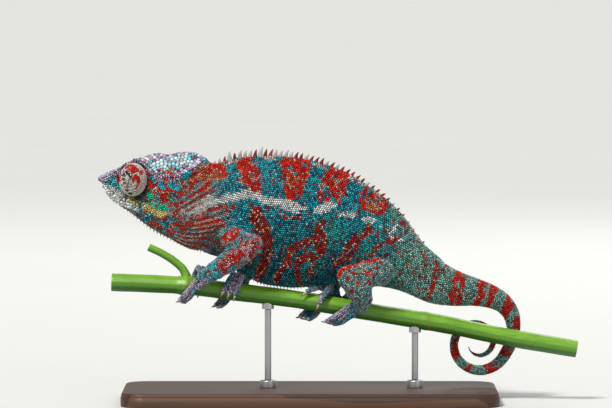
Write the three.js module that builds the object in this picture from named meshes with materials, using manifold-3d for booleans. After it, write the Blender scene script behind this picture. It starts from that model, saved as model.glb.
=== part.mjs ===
// A still, life-size model of an adult male panther chameleon walking along a green stem, on a plain display
// stand. Millimetres, +Z up. The head points towards -X and the animal's left side towards -Y. The origin is
// the middle of the underside of the stand's base.

import * as THREE from "three";
import { LoftGeometry } from "three/addons/geometries/LoftGeometry.js";
import { mergeVertices } from "three/addons/utils/BufferGeometryUtils.js";
import Module from "manifold-3d";

const wasm = await Module();
wasm.setup();

// ---------------------------------------------------------------- driving dimensions

const GAP = 0.3; // between neighbouring solids

// Head, neck and trunk, seen from the side: the outline as [X, Z], from the snout to the root of the tail.
const BACK_LINE = [
  [-117.8, 125.4], [-116.6, 127.6], [-112.9, 130.6], [-102.6, 135.8], [-91.2, 140.7], // snout
  [-86, 141.6], [-81.5, 140.9], [-75.2, 142.1], [-68.4, 142.6], [-63.3, 141.3], [-59.3, 138.6], // brow, casque
  [-55.9, 136.2], [-50.2, 137.3], [-39.9, 139.6], [-27.4, 140.5], [-14.3, 140.2], // nape, withers
  [-2.9, 138.8], [8.6, 135.6], [20, 131.1], [31.4, 124.8], [42.8, 116.6], [51.3, 108.3], // back, loin
  [59.9, 96.9], [68.4, 86.4], [79, 77.8], // rump
];
const BELLY_LINE = [
  [-117.8, 122.6], [-116.4, 120], [-112.9, 115.7], [-102.6, 108.3], [-91.2, 99.6], [-79.8, 93.2], // chin
  [-68.4, 87.7], [-55.9, 84.1], [-48.5, 80.9], [-39.9, 74.7], [-33.1, 69.8], [-25.7, 67], // throat, chest
  [-14.3, 65.4], [8.6, 66.7], [20, 67.3], [42.8, 65.3], [51.3, 63.3], [68.4, 57.6], [79, 55.6], // belly, vent
];
// The height at which each cross-section is widest, and its half width there.
const WIDEST_LINE = [
  [-117.8, 124], [-108, 124.6], [-100, 124], [-92, 126], [-86, 127.6], [-78, 128], [-70, 124], [-62, 116],
  [-50, 108], [-35, 103], [-10, 100], [15, 97], [35, 90], [50, 82], [62, 75], [79, 66.5],
];
const HALF_WIDTH = [
  [-117.8, 2.4], [-116.4, 4.6], [-113, 6.8], [-108, 8.4], [-102, 9], [-96, 9.8], [-91, 11.4], [-86, 13.2],
  [-80, 14.2], [-74, 14], [-67, 12.9], [-60, 12.2], [-52, 12.6], [-42, 14.6], [-28, 16.8], [-10, 17.6],
  [5, 17.2], [20, 16], [35, 14.2], [48, 12.2], [62, 10.2], [79, 9],
];
// How full a cross-section is above and below its widest height: 1 is a straight roof, 2 is round, 3 is boxy.
const BACK_FULLNESS = [
  [-117.8, 2.2], [-104, 2.5], [-92, 1.9], [-84, 1.4], [-68, 1.35], [-58, 1.6], [-30, 1.65], [40, 1.75], [79, 2],
];
const BELLY_FULLNESS = [
  [-117.8, 2], [-100, 2], [-86, 2.3], [-72, 2.3], [-58, 1.9], [0, 1.85], [45, 1.9], [79, 2],
];
const TRUNK_END_X = 79;

// The snout's flat process, where the two ridges of the head meet in front: [X, Z, half width, half thickness].
const SNOUT_PROCESS = [
  [-121.2, 126.9, 1.4, 0.9], [-120.3, 127.1, 3, 1.5], [-117.6, 127.9, 4.6, 1.9], [-113, 130, 6.6, 1.9],
  [-107, 132.6, 7.6, 1.6],
];
// One side's ridge, from the process over the eye and down behind it, then up the casque's edge to its back.
const RIDGE = [
  [-118, 3.6, 127.9], [-113, 6.4, 130.4], [-107, 7.6, 133.8], [-101, 8, 137], [-95.5, 9.2, 137.9],
  [-91, 11.6, 134.8], [-86.6, 13.2, 130.8], [-80, 14.2, 128.7], [-74, 13.8, 129.2], [-68, 11.2, 132.8],
  [-62.5, 6.2, 136.6], [-59, 1.5, 138.8],
];
const RIDGE_RADIUS = 1.3;

// Places of the thin cuts, as lines seen from the side.
const MOUTH_LINE = [
  [-122, 124.6], [-116.8, 121.2], [-113.4, 117.6], [-107.3, 115], [-101, 113.6], [-95, 110.6], [-89.5, 107],
  [-84, 104], [-86, 99], [-93, 92],
];
const NAPE_CUT = [[-55, 143], [-84, 88]];
const SHOULDER_CUT = [[-50, 146], [-59, 74]];

// The eye turret: a dome of fused lids round a small opening, which looks out, a little up and forward.
const EYE = { x: -100.3, y: 9.8, z: 127, gaze: [-0.2, 1, 0.36], wide: 0.9, tall: 1.09 };
const PUPIL = { radius: 1.25, depth: 6.2, dome: 0.9, rim: 0.4 };
// Turned about the line of sight, as [radius, height].
const TURRET_PROFILE = [
  [0, -3.6], [6.4, -3.6], [8.3, -1.2], [8.6, 1], [8, 3.4], [6.6, 5.4], [4.7, 6.9], [3, 7.7], [2.1, 8],
  [1.6, 7.7], [1.6, 6.2], [0, 6.2],
];
const SOCKET_PROFILE = [[0, -4.5], [6.8, -4.5], [9, -1.6], [9.5, 1.1], [9, 5], [0, 8]];

// Low cones of the crests, standing on the outline: [X, height], at an even pitch.
const CREST = { pitch: 3.2, thickness: 1.5, sunk: 1.6 };
const BACK_CREST = [
  [-54.5, 2.4], [-47, 4], [-38, 5.2], [-24, 5.2], [-10, 4.9], [10, 4.5], [26, 3.9], [40, 3], [52, 2], [66, 1.2],
];
const THROAT_CREST = [[-106, 0.8], [-96, 1.8], [-86, 2], [-74, 1.2], [-60, 0.8]];
const BELLY_CREST = [[-34, 0.8], [-22, 1.5], [-4, 0.8]];

// The tail's centre line as [X, Y, Z, half height, half width], then a flat spiral on the far side of the stem.
const TAIL_LINE = [
  [50, 0, 81.4, 16.4, 10.9], [62.4, 0, 73.9, 14, 10.2], [72.1, 0, 67.9, 12.2, 9.3],
  [82.9, 0.3, 64.6, 10.1, 8.4], [94, 1.4, 62.5, 8, 7.4], [103.7, 3.4, 59.6, 6.6, 6.3],
  [110.6, 5.6, 55.6, 5.6, 5.4], [115, 7.6, 49.6, 4.8, 4.7], [116.6, 9.2, 42.5, 4.1, 4],
];
const SPIRAL = { x: 95.8, y: 9.6, z: 32.6, from: 25, to: 520, step: 30, radius: 17.6, closing: 0.0238 };
const SPIRAL_SIZE = [[0, 3.8], [60, 3.2], [120, 2.8], [220, 2.5], [320, 2.1], [420, 1.6], [520, 0.7]];
// The tail's separate lengths, by the numbers of the points above.
const TAIL_CUTS = {
  tail_base: [1, 3], tail_middle: [3, 5.3], tail_bend: [5.3, 8.6],
  tail_coil: [8.6, 12.8], tail_loop: [12.8, 18], tail_tip: [18, 25],
};

// The stem it grips: its centre line as [X, Z], cut to length, and a side shoot cut short at the node.
const STEM_LINE = [
  [-113, 68.2], [-91, 67.4], [-70.7, 66.2], [-45.6, 63.1], [-5.7, 58], [39.9, 50.2], [74.1, 44.6],
  [108.3, 37.6], [152, 30.1],
];
const STEM = { radius: 5, nodeX: -71, nodeSwell: 1.1, nodeReach: 3.2 };
const SHOOT_LINE = [[-70.8, 0.4, 71.6], [-72.4, 0.6, 75.4], [-77.2, 1, 80], [-84, 1.4, 84.4], [-92, 1.6, 88.2]];
const SHOOT_RADIUS = 2.4;

// Legs, from the body out. Joints are [X, distance from the middle plane, Z, radius]. A grip holds the stem
// with two bundles of fused toes. Its places are turned round the stem from its top, in degrees, towards the
// leg's own side, and reach out from the stem's middle. An arch lifts the toes off the stem, and a splay
// spreads their tips.
const FRONT_TOES = { outer: 2, inner: 3 };
const HIND_TOES = { outer: 3, inner: 2 };
const SHOULDER = [-49, 7, 95, 8.6];
const HIP = [47, 5, 77, 9.6];
const LEGS = [
  {
    names: ["upper_arm_left", "forearm_left", "hand_left"],
    side: -1,
    toes: FRONT_TOES,
    joints: [
      SHOULDER, [-43, 14.5, 93.5, 6.6], [-32, 20.2, 90.4, 5.7], [-46, 14.5, 81, 6.3], [-58.6, 8.2, 72, 4.6],
    ],
    palm: { x: -60.5, turn: 46, reach: 9 },
    outer: { x: -73, turn: 158, reach: 10, arch: 0.4, splay: [0, 0] },
    inner: { x: -66, turn: -118, reach: 7.9, arch: 2.2, splay: [0, 0] },
  },
  {
    names: ["upper_arm_right", "forearm_right", "hand_right"],
    side: 1,
    toes: FRONT_TOES,
    joints: [
      SHOULDER, [-40, 15, 91, 6.6], [-27, 20.6, 84.5, 5.7], [-33, 15.4, 77.5, 6], [-38.5, 9.4, 71.4, 4.6],
    ],
    palm: { x: -40, turn: 44, reach: 9 },
    outer: { x: -52, turn: 166, reach: 10.4, arch: 0.2, splay: [0, 0] },
    inner: { x: -46, turn: -102, reach: 7.9, arch: 0.8, splay: [0.6, 0] },
  },
  {
    names: ["thigh_left", "shank_left", "foot_left"],
    side: -1,
    toes: HIND_TOES,
    joints: [HIP, [35, 13.5, 74.2, 7.6], [21.8, 19.4, 73, 6.4], [28.2, 15, 63.6, 7], [30.6, 9.6, 56.4, 5.4]],
    palm: { x: 28.6, turn: 62, reach: 8.4 },
    outer: { x: 12.4, turn: 168, reach: 10.4, arch: 0.8, splay: [0, 0] },
    inner: { x: 17.4, turn: -108, reach: 7.9, arch: 0.8, splay: [0, 0] },
  },
  {
    names: ["thigh_right", "shank_right", "foot_right"],
    side: 1,
    toes: HIND_TOES,
    joints: [HIP, [34, 14, 77, 7.6], [20.5, 19.8, 77, 6.4], [15, 15, 71.6, 6.6], [12.4, 9.2, 66, 5.2]],
    palm: { x: 11.5, turn: 46, reach: 9 },
    outer: { x: -2.4, turn: 172, reach: 10.4, arch: 0.2, splay: [0, 0] },
    inner: { x: 0.6, turn: -76, reach: 8, arch: 0.6, splay: [6, -34] },
  },
];
const TOE = { pitch: 3, base: 2.35, tip: 1.8, palm: 4.9 };
const CLAW = { length: 3, radius: 0.85, tip: 0.28, hook: 0.9 };

// The display stand: a flat base and two rods up to saddles under the stem.
const BASE = { length: 214, width: 88, height: 8, corner: 14, bevel: 1.6 };
const RODS = { stand_front: -24, stand_rear: 59.9 }; // name and X
const ROD_RADIUS = 2;
const COLLAR = { radius: 4.6, height: 4 };
const SADDLE = { radius: 3.6, height: 4.2 };

const COLOURS = {
  body: ["#2b8b90", 0.55], limb: ["#4f9c92", 0.6], foot: ["#8b7a99", 0.62], tail: ["#4c9a97", 0.58],
  head: ["#9a6f78", 0.58], turret: ["#c9b9a8", 0.55], pupil: ["#14100c", 0.1], claw: ["#c9b3a4", 0.4],
  stem: ["#5f9a1e", 0.5], base: ["#3b2a20", 0.45], metal: ["#a9abad", 0.3, 0.9],
};

// ---------------------------------------------------------------- shapes

const Y = new THREE.Vector3(0, 1, 0);
const vector = (x, y, z) => new THREE.Vector3(x, y, z);
const curve = (points) => new THREE.CatmullRomCurve3(points.map((p) => vector(...p)), false, "centripetal");
const steps = (count, make) => Array.from({ length: count }, (_, i) => make(i));
const radians = THREE.MathUtils.degToRad;
const mix = THREE.MathUtils.lerp;

// A smooth function through [x, value] knots, held level past both ends.
function line(knots) {
  const spline = new THREE.CubicInterpolant(knots.map((k) => k[0]), knots.map((k) => k[1]), 1);
  const [first, last] = [knots[0][0], knots[knots.length - 1][0]];
  return (x) => spline.evaluate(THREE.MathUtils.clamp(x, first, last))[0];
}

// A three.js geometry as a solid, turned the right way out.
function solidOf(geometry) {
  const plain = new THREE.BufferGeometry().copy(geometry);
  ["normal", "uv"].forEach((name) => plain.deleteAttribute(name));
  const merged = mergeVertices(plain, 1e-4);
  const vertProperties = merged.attributes.position.array;
  const make = (triVerts) => new wasm.Manifold(new wasm.Mesh({ numProp: 3, vertProperties, triVerts }));
  const solid = make(new Uint32Array(merged.index.array));
  return solid.volume() > 0 ? solid : make(new Uint32Array(merged.index.array).reverse());
}

const joined = (solids) => solids.reduce((whole, solid) => whole.add(solid));
const without = (solid, ...others) => others.reduce((left, other) => left.subtract(other), solid);
const largest = (solid) => solid.decompose().sort((a, b) => b.volume() - a.volume())[0];

// A ring of points, counterclockwise as seen from the far end; point() is given how far across and how far up.
const ringOf = (sides, point) =>
  steps(sides, (k) => point(Math.cos((2 * Math.PI * k) / sides), Math.sin((2 * Math.PI * k) / sides)));

// A closed solid through rings of points, where ring(share) gives the ring at that share of the length.
function lofted(rings, ring) {
  const sections = steps(rings + 1, (i) => ring(i / rings));
  return solidOf(new LoftGeometry(sections, { capStart: true, capEnd: true }));
}

// An oval tube along a path. halves(share) gives its half width, in the sideways direction, and its half
// height. Its flat-sided rings hold the same area as the round ones they stand for.
function tube(path, sides, rings, halves, sideways = Y) {
  const fuller = Math.sqrt((2 * Math.PI) / sides / Math.sin((2 * Math.PI) / sides));
  return lofted(rings, (share) => {
    const centre = path.getPointAt(share);
    const along = path.getTangentAt(share);
    const side = sideways.clone().projectOnPlane(along).normalize();
    const up = along.clone().cross(side);
    const [wide, high] = halves(share);
    return ringOf(sides, (across, rise) =>
      centre.clone().addScaledVector(side, fuller * wide * across).addScaledVector(up, fuller * high * rise));
  });
}

// A shape drawn from the side as [X, Z] points, given a thickness across the middle plane.
function plateOf(points, thickness) {
  const shape = new THREE.Shape(points.map(([x, z]) => new THREE.Vector2(x, z)));
  const geometry = new THREE.ExtrudeGeometry(shape, { depth: thickness, bevelEnabled: false });
  return solidOf(geometry.translate(0, 0, -thickness / 2).rotateX(Math.PI / 2));
}

// The two or more pieces that a thin cut leaves, where the cut is a line seen from the side.
function parted(solid, cut) {
  const way = cut.map((p, i) => {
    const [a, b] = [cut[Math.max(i - 1, 0)], cut[Math.min(i + 1, cut.length - 1)]];
    const along = new THREE.Vector2(b[0] - a[0], b[1] - a[1]).normalize().multiplyScalar(GAP / 2);
    return { left: [p[0] - along.y, p[1] + along.x], right: [p[0] + along.y, p[1] - along.x] };
  });
  const blade = plateOf([...way.map((w) => w.left), ...way.map((w) => w.right).reverse()], 60);
  return solid.subtract(blade).decompose();
}

// ---------------------------------------------------------------- head, neck and trunk

const back = line(BACK_LINE);
const belly = line(BELLY_LINE);
const widest = line(WIDEST_LINE);
const halfWidth = line(HALF_WIDTH);
const backFullness = line(BACK_FULLNESS);
const bellyFullness = line(BELLY_FULLNESS);

// One upright cross-section of the body, grown outwards by a small amount where a neighbour is cut to fit it.
function bodySection(x, sides, grow) {
  return ringOf(sides, (across, rise) => {
    const power = 2 / (rise > 0 ? backFullness(x) : bellyFullness(x));
    const height = rise > 0 ? back(x) - widest(x) : widest(x) - belly(x);
    const out = (halfWidth(x) + grow) * Math.sign(across) * Math.abs(across) ** power;
    return vector(x, out, widest(x) + (height + grow) * Math.sign(rise) * Math.abs(rise) ** power);
  });
}

// Rings lie closer together on the head than on the trunk.
const ringPlace = line([[0, BACK_LINE[0][0]], [0.07, -115], [0.4, -62], [1, TRUNK_END_X]]);
const bodyLoft = (grow = 0) => lofted(32, (share) => bodySection(ringPlace(share), 16, grow));

// A row of low cones along an outline, as one toothed strip sunk into the body.
function crest(outline, heights, upwards) {
  const height = line(heights);
  const [first, last] = [heights[0][0], heights[heights.length - 1][0]];
  const count = Math.round((last - first) / CREST.pitch);
  const at = (i) => first + ((last - first) * i) / count;
  const raised = (x, share) => [x, outline(x) + upwards * share * height(x)];
  const teeth = steps(count, (i) => [raised(at(i), 0.25), raised(at(i + 0.5), 1)]).flat();
  const root = steps(count + 1, (i) => [at(count - i), outline(at(count - i)) - upwards * CREST.sunk]);
  return plateOf([...teeth, [last, outline(last)], ...root], CREST.thickness);
}

const mirrored = (solid) => solid.mirror([0, 1, 0]);
const bothSides = (solid) => solid.add(mirrored(solid));

function snoutProcess() {
  return lofted(SNOUT_PROCESS.length - 1, (share) => {
    const [x, z, wide, thick] = SNOUT_PROCESS[Math.round(share * (SNOUT_PROCESS.length - 1))];
    return ringOf(12, (across, rise) => vector(x, wide * across, z + thick * rise));
  });
}

function headRidge(grow = 0) {
  const thickness = (share) => RIDGE_RADIUS * (0.75 + 0.4 * Math.sin(Math.PI * share)) + grow;
  return tube(curve(RIDGE), 5, 14, (share) => [thickness(share), thickness(share)], vector(0, 0, 1));
}

const gaze = vector(...EYE.gaze).normalize();
const eyeCentre = vector(EYE.x, EYE.y, EYE.z);

// A turned shape stood on the eye's line of sight, in the turret's oval.
function eyePiece(profile, sides) {
  const geometry = new THREE.LatheGeometry(profile.map(([r, h]) => new THREE.Vector2(r, h)), sides);
  geometry.applyQuaternion(new THREE.Quaternion().setFromUnitVectors(Y, gaze));
  geometry.scale(EYE.wide, 1, EYE.tall).translate(...eyeCentre.toArray());
  return solidOf(geometry);
}

const eyeSocket = () => eyePiece(SOCKET_PROFILE, 10);

function eyeball() {
  const foot = PUPIL.depth + GAP;
  const rim = PUPIL.depth + PUPIL.rim;
  const arc = steps(3, (i) => {
    const turn = radians(30 * i);
    return [PUPIL.radius * Math.cos(turn), rim + PUPIL.dome * Math.sin(turn)];
  });
  return eyePiece([[0, foot], [PUPIL.radius, foot], ...arc, [0, rim + PUPIL.dome]], 8);
}

// ---------------------------------------------------------------- stem

const stemHeight = line(STEM_LINE);
const nodeSwell = (x) => STEM.nodeSwell * Math.exp(-(((x - STEM.nodeX) / STEM.nodeReach) ** 2));
const stemRadius = (x) => STEM.radius + nodeSwell(x);
const stemCurve = curve(STEM_LINE.map(([x, z]) => [x, 0, z]));

function stem(grow = 0) {
  return tube(stemCurve, 10, 18, (share) => {
    const radius = stemRadius(stemCurve.getPointAt(share).x) + grow;
    return [radius, radius];
  });
}

const shoot = (grow = 0) => tube(curve(SHOOT_LINE), 7, 5, () => [SHOOT_RADIUS + grow, SHOOT_RADIUS + grow]);

// A point beside the stem: its place along X, its turn round the stem from the top, and its distance from the
// stem's middle.
function beside(x, turn, reach) {
  const slope = (stemHeight(x + 1) - stemHeight(x - 1)) / 2;
  const up = vector(-slope, 0, 1).normalize();
  const out = up.multiplyScalar(Math.cos(turn)).addScaledVector(Y, Math.sin(turn));
  return vector(x, 0, stemHeight(x)).addScaledVector(out, reach);
}

// ---------------------------------------------------------------- tail

function tailPoints() {
  const size = line(SPIRAL_SIZE);
  const count = Math.floor((SPIRAL.to - SPIRAL.from) / SPIRAL.step) + 1;
  const coil = steps(count, (i) => {
    const turn = SPIRAL.from + i * SPIRAL.step;
    const radius = SPIRAL.radius - SPIRAL.closing * turn;
    const [x, z] = [SPIRAL.x + radius * Math.cos(radians(turn)), SPIRAL.z - radius * Math.sin(radians(turn))];
    return [x, SPIRAL.y, z, size(turn), size(turn)];
  });
  return [...TAIL_LINE, ...coil];
}

const tail = tailPoints();
const tailCurve = curve(tail.map((p) => p.slice(0, 3)));
const tailHalfHeight = line(tail.map((p, i) => [i, p[3]]));
const tailHalfWidth = line(tail.map((p, i) => [i, p[4]]));
const LAST = tail.length - 1;

// One length of the tail, between two of its numbered points, with half the gap left at each end.
function tailLength(from, to) {
  const at = (point) => tailCurve.getPoint(point / LAST);
  const inset = (point) => (0.1 * GAP) / 2 / at(point - 0.05).distanceTo(at(point + 0.05));
  const point = (share) => mix(from + inset(from), to - (to < LAST ? inset(to) : 0), share);
  const along = { getPointAt: (s) => at(point(s)), getTangentAt: (s) => tailCurve.getTangent(point(s) / LAST) };
  const rings = Math.round((to - from) * (from < 6 ? 1.6 : 1.4));
  const sides = from < 6 ? 14 : 8;
  return tube(along, sides, rings, (share) => [tailHalfWidth(point(share)), tailHalfHeight(point(share))]);
}

// The trunk's own end is cut square to the tail line, so that the two meet face to face.
function trunkOf(solid) {
  const root = TAIL_CUTS.tail_base[0] / LAST;
  const ahead = tailCurve.getTangent(root);
  return solid.trimByPlane(ahead.clone().negate().toArray(), GAP / 2 - ahead.dot(tailCurve.getPoint(root)));
}

// ---------------------------------------------------------------- legs

// A leg's two lengths. The upper one ends in the round of the elbow or knee, and the lower one starts inside.
function legLengths(leg, grow) {
  const at = leg.joints.map(([x, out, z]) => [x, leg.side * out, z]);
  const radius = leg.joints.map((joint) => joint[3]);
  const between = (a, b, c, narrow) => {
    const size = line([[0, radius[a]], [0.5, radius[b]], [1, radius[c]]]);
    return tube(curve([at[a], at[b], at[c]]), 8, 4, (share) => {
      const halves = size(share) * Math.min(1, narrow + 2.4 * share, 0.75 + 2.4 * (1 - share)) + grow;
      return [halves, halves];
    });
  };
  const bend = solidOf(new THREE.SphereGeometry(radius[2] + grow, 8, 5).translate(...at[2]));
  return { upper: between(0, 1, 2, 0.7).add(bend), lower: between(2, 3, 4, 1) };
}

const ALONG_STEM = vector(1, 0, 0.02);

// The line of one toe, from the palm round the stem to its tip. A bundle's toes run side by side, and a slanted
// bundle's are set out across its own slant.
function toeLine(leg, bundle, index, count) {
  const offset = index - (count - 1) / 2;
  const run = bundle.x - leg.palm.x;
  const wrap = radians(bundle.turn - leg.palm.turn) * bundle.reach;
  const slant = Math.hypot(run, wrap);
  return new THREE.CatmullRomCurve3(
    steps(6, (i) => {
      const share = i / 5;
      const aside = offset * TOE.pitch * mix(0.6, 1, share);
      const spread = (aside * Math.abs(wrap)) / slant + offset * bundle.splay[0] * share;
      const x = leg.palm.x + run * share ** 0.9 + spread;
      const turn = mix(leg.palm.turn, bundle.turn + offset * bundle.splay[1], share);
      const turned = radians(turn) - (aside * run * Math.sign(wrap)) / slant / bundle.reach;
      const arch = bundle.arch * Math.sin(Math.PI * Math.min(1, 1.5 * share));
      return beside(x, turned * leg.side, mix(leg.palm.reach, bundle.reach, share) + arch);
    }),
  );
}

function toe(path, grow = 0) {
  return tube(path, 5, 4, (share) => {
    const rounded = share === 1 ? 0.72 : 1;
    const radius = mix(TOE.base, TOE.tip, share) * rounded + grow;
    return [radius, radius];
  }, ALONG_STEM);
}

// A claw carries on from its toe's tip and hooks in towards the stem.
function claw(path) {
  const [tip, along] = [path.getPointAt(1), path.getTangentAt(1)];
  const inward = vector(tip.x, 0, stemHeight(tip.x)).sub(tip).projectOnPlane(along).normalize();
  const start = tip.clone().addScaledVector(along, 1.4 * GAP);
  const further = (share, hooked) =>
    start.clone().addScaledVector(along, CLAW.length * share).addScaledVector(inward, CLAW.hook * hooked);
  const hook = new THREE.CatmullRomCurve3([start, further(0.55, 0.3), further(1, 1)]);
  const halves = (share) => steps(2, () => mix(CLAW.radius, CLAW.tip, share));
  return tube(hook, 4, 2, halves, ALONG_STEM);
}

const palmCentre = (leg) => beside(leg.palm.x, radians(leg.palm.turn) * leg.side, leg.palm.reach);

function palm(leg, grow) {
  const ball = new THREE.SphereGeometry(TOE.palm + grow, 8, 6);
  return solidOf(ball.translate(...palmCentre(leg).toArray()));
}

// Which way the outer bundle leaves the palm, square to the stem.
function outerWay(leg) {
  const turn = radians(leg.palm.turn) * leg.side;
  return beside(leg.palm.x, turn + leg.side * 0.01, 10).sub(beside(leg.palm.x, turn, 10)).normalize();
}

// ---------------------------------------------------------------- the model

const part = new THREE.Group();
const [animal, perch, stand] = steps(3, () => new THREE.Group());
part.add(animal, perch, stand);

function place(group, name, solid, colour) {
  const { vertProperties, triVerts, numProp } = solid.getMesh();
  const geometry = new THREE.BufferGeometry();
  geometry.setAttribute("position", new THREE.BufferAttribute(vertProperties, numProp));
  geometry.setIndex(new THREE.BufferAttribute(triVerts, 1)).computeVertexNormals();
  const [color, roughness, metalness = 0] = COLOURS[colour];
  const mesh = new THREE.Mesh(geometry, new THREE.MeshStandardMaterial({ color, roughness, metalness }));
  mesh.name = name;
  group.add(mesh);
}

const stemRoom = stem(GAP + 0.05).add(shoot(GAP + 0.05));

function placeBody() {
  const crests = [crest(back, BACK_CREST, 1), crest(belly, THROAT_CREST, -1), crest(belly, BELLY_CREST, -1)];
  const skull = without(bodyLoft(), bothSides(eyeSocket()));
  const whole = without(joined([skull, snoutProcess(), bothSides(headRidge()), ...crests]), stemRoom);
  const byFront = (a, b) => a.boundingBox().min[0] - b.boundingBox().min[0];
  const [front, trunk] = parted(whole, SHOULDER_CUT).sort(byFront);
  const [face, neck] = parted(front, NAPE_CUT).sort(byFront);
  const [jaw, head] = parted(face, MOUTH_LINE).sort((a, b) => a.boundingBox().max[2] - b.boundingBox().max[2]);
  place(animal, "head", head, "head");
  place(animal, "lower_jaw", jaw, "head");
  place(animal, "neck", neck, "body");
  place(animal, "trunk", trunkOf(trunk), "body");
}

function placeEyes() {
  const faceRoom = bodyLoft(GAP).subtract(eyeSocket()).add(headRidge(GAP));
  const turret = eyePiece(TURRET_PROFILE, 12).subtract(faceRoom);
  place(animal, "eye_turret_right", largest(turret), "turret");
  place(animal, "eye_turret_left", mirrored(largest(turret)), "turret");
  place(animal, "eyeball_right", eyeball(), "pupil");
  place(animal, "eyeball_left", mirrored(eyeball()), "pupil");
}

function placeTail() {
  for (const [name, [from, to]] of Object.entries(TAIL_CUTS)) {
    place(animal, name, without(tailLength(from, to), stemRoom), "tail");
  }
}

function placeLegs() {
  const bodyRoom = bodyLoft(GAP);
  for (const leg of LEGS) {
    const centre = palmCentre(leg);
    const way = outerWay(leg);
    const bundles = Object.keys(leg.toes).map((bundle, i) => {
      const count = leg.toes[bundle];
      const paths = steps(count, (k) => toeLine(leg, leg[bundle], k, count));
      return { bundle, paths, facing: way.clone().multiplyScalar(1 - 2 * i) };
    });
    const toeRooms = bundles.flatMap(({ paths }) => paths.map((path) => toe(path, GAP)));
    const footRoom = joined([palm(leg, GAP), ...toeRooms]);
    const { upper, lower } = legLengths(leg, 0);
    const upperRoom = legLengths(leg, GAP).upper;
    place(animal, leg.names[0], largest(without(upper, bodyRoom)), "limb");
    place(animal, leg.names[1], largest(without(lower, upperRoom, bodyRoom, footRoom, stemRoom)), "limb");
    for (const { bundle, facing, paths } of bundles) {
      const half = (solid) => solid.trimByPlane(facing.toArray(), facing.dot(centre) + GAP / 2);
      const bundleSolid = half(joined([palm(leg, 0), ...paths.map((path) => toe(path))]));
      const name = `${leg.names[2]}_${bundle}`;
      place(animal, name, largest(without(bundleSolid, stemRoom, bodyRoom)), "foot");
      paths.forEach((path, i) => place(animal, `claw_${name}_${i + 1}`, without(claw(path), stemRoom), "claw"));
    }
  }
}

function placePerch() {
  place(perch, "perch_stem", stem(), "stem");
  place(perch, "perch_shoot", without(shoot(), stem(GAP)), "stem");
}

function placeStand() {
  const [halfX, halfY, corner] = [BASE.length / 2 - BASE.bevel, BASE.width / 2 - BASE.bevel, BASE.corner];
  const outline = new THREE.Shape();
  outline.absarc(halfX - corner, halfY - corner, corner, 0, Math.PI / 2);
  outline.absarc(-halfX + corner, halfY - corner, corner, Math.PI / 2, Math.PI);
  outline.absarc(-halfX + corner, -halfY + corner, corner, Math.PI, 1.5 * Math.PI);
  outline.absarc(halfX - corner, -halfY + corner, corner, 1.5 * Math.PI, 2 * Math.PI);
  const slab = new THREE.ExtrudeGeometry(outline, {
    depth: BASE.height - 2 * BASE.bevel, bevelThickness: BASE.bevel, bevelSize: BASE.bevel, bevelSegments: 1,
    curveSegments: 3,
  });
  place(stand, "stand_base", solidOf(slab.translate(0, 0, BASE.bevel)), "base");
  for (const [name, x] of Object.entries(RODS)) {
    const upright = (radius, from, to, sides) => {
      const post = new THREE.CylinderGeometry(radius, radius, to - from, sides).rotateX(Math.PI / 2);
      return solidOf(post.translate(x, 0, (from + to) / 2));
    };
    const collarFoot = BASE.height + GAP;
    const collarTop = collarFoot + COLLAR.height;
    const stemUnderside = stemHeight(x) - STEM.radius - GAP;
    const [saddleFoot, saddleTop] = [stemUnderside - SADDLE.height / 2, stemUnderside + SADDLE.height / 2];
    place(stand, `${name}_collar`, upright(COLLAR.radius, collarFoot, collarTop, 12), "metal");
    place(stand, `${name}_rod`, upright(ROD_RADIUS, collarTop + GAP, saddleFoot - GAP, 10), "metal");
    const saddle = upright(SADDLE.radius, saddleFoot, saddleTop, 10).subtract(stem(GAP));
    place(stand, `${name}_saddle`, saddle, "metal");
  }
}

placeBody();
placeEyes();
placeTail();
placeLegs();
placePerch();
placeStand();

export default part;
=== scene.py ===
import math

import bmesh
import bpy
import numpy as np
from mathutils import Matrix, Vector
from mathutils.bvhtree import BVHTree
from mathutils.kdtree import KDTree


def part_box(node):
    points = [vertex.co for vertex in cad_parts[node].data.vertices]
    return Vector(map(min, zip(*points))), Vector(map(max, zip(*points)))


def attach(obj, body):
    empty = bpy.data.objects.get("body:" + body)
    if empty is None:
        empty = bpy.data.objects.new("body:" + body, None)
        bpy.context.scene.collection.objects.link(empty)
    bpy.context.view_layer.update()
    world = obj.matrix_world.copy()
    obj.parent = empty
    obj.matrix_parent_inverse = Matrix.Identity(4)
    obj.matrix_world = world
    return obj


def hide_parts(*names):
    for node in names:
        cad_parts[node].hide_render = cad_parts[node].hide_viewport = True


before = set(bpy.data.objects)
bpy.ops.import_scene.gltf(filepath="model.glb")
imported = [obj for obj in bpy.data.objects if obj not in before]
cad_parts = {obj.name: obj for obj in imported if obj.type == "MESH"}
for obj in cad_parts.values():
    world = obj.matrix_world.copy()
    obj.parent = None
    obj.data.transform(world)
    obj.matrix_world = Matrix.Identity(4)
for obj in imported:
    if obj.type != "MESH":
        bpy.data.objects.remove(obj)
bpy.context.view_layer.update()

# A life-size panther chameleon on a cut stem, held by a display stand. Lengths here are in millimetres and
# become metres when a mesh is made. X runs from the snout to the tail, Y to its right side and Z up.
MM = 0.001
SEED = 20
COAT_DEPTH = 0.35  # how far the skin lies inside the outline that the scales fill
X_WAY, Y_WAY, Z_WAY = np.eye(3)

# ---------------------------------------------------------------- measures of the animal

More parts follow.
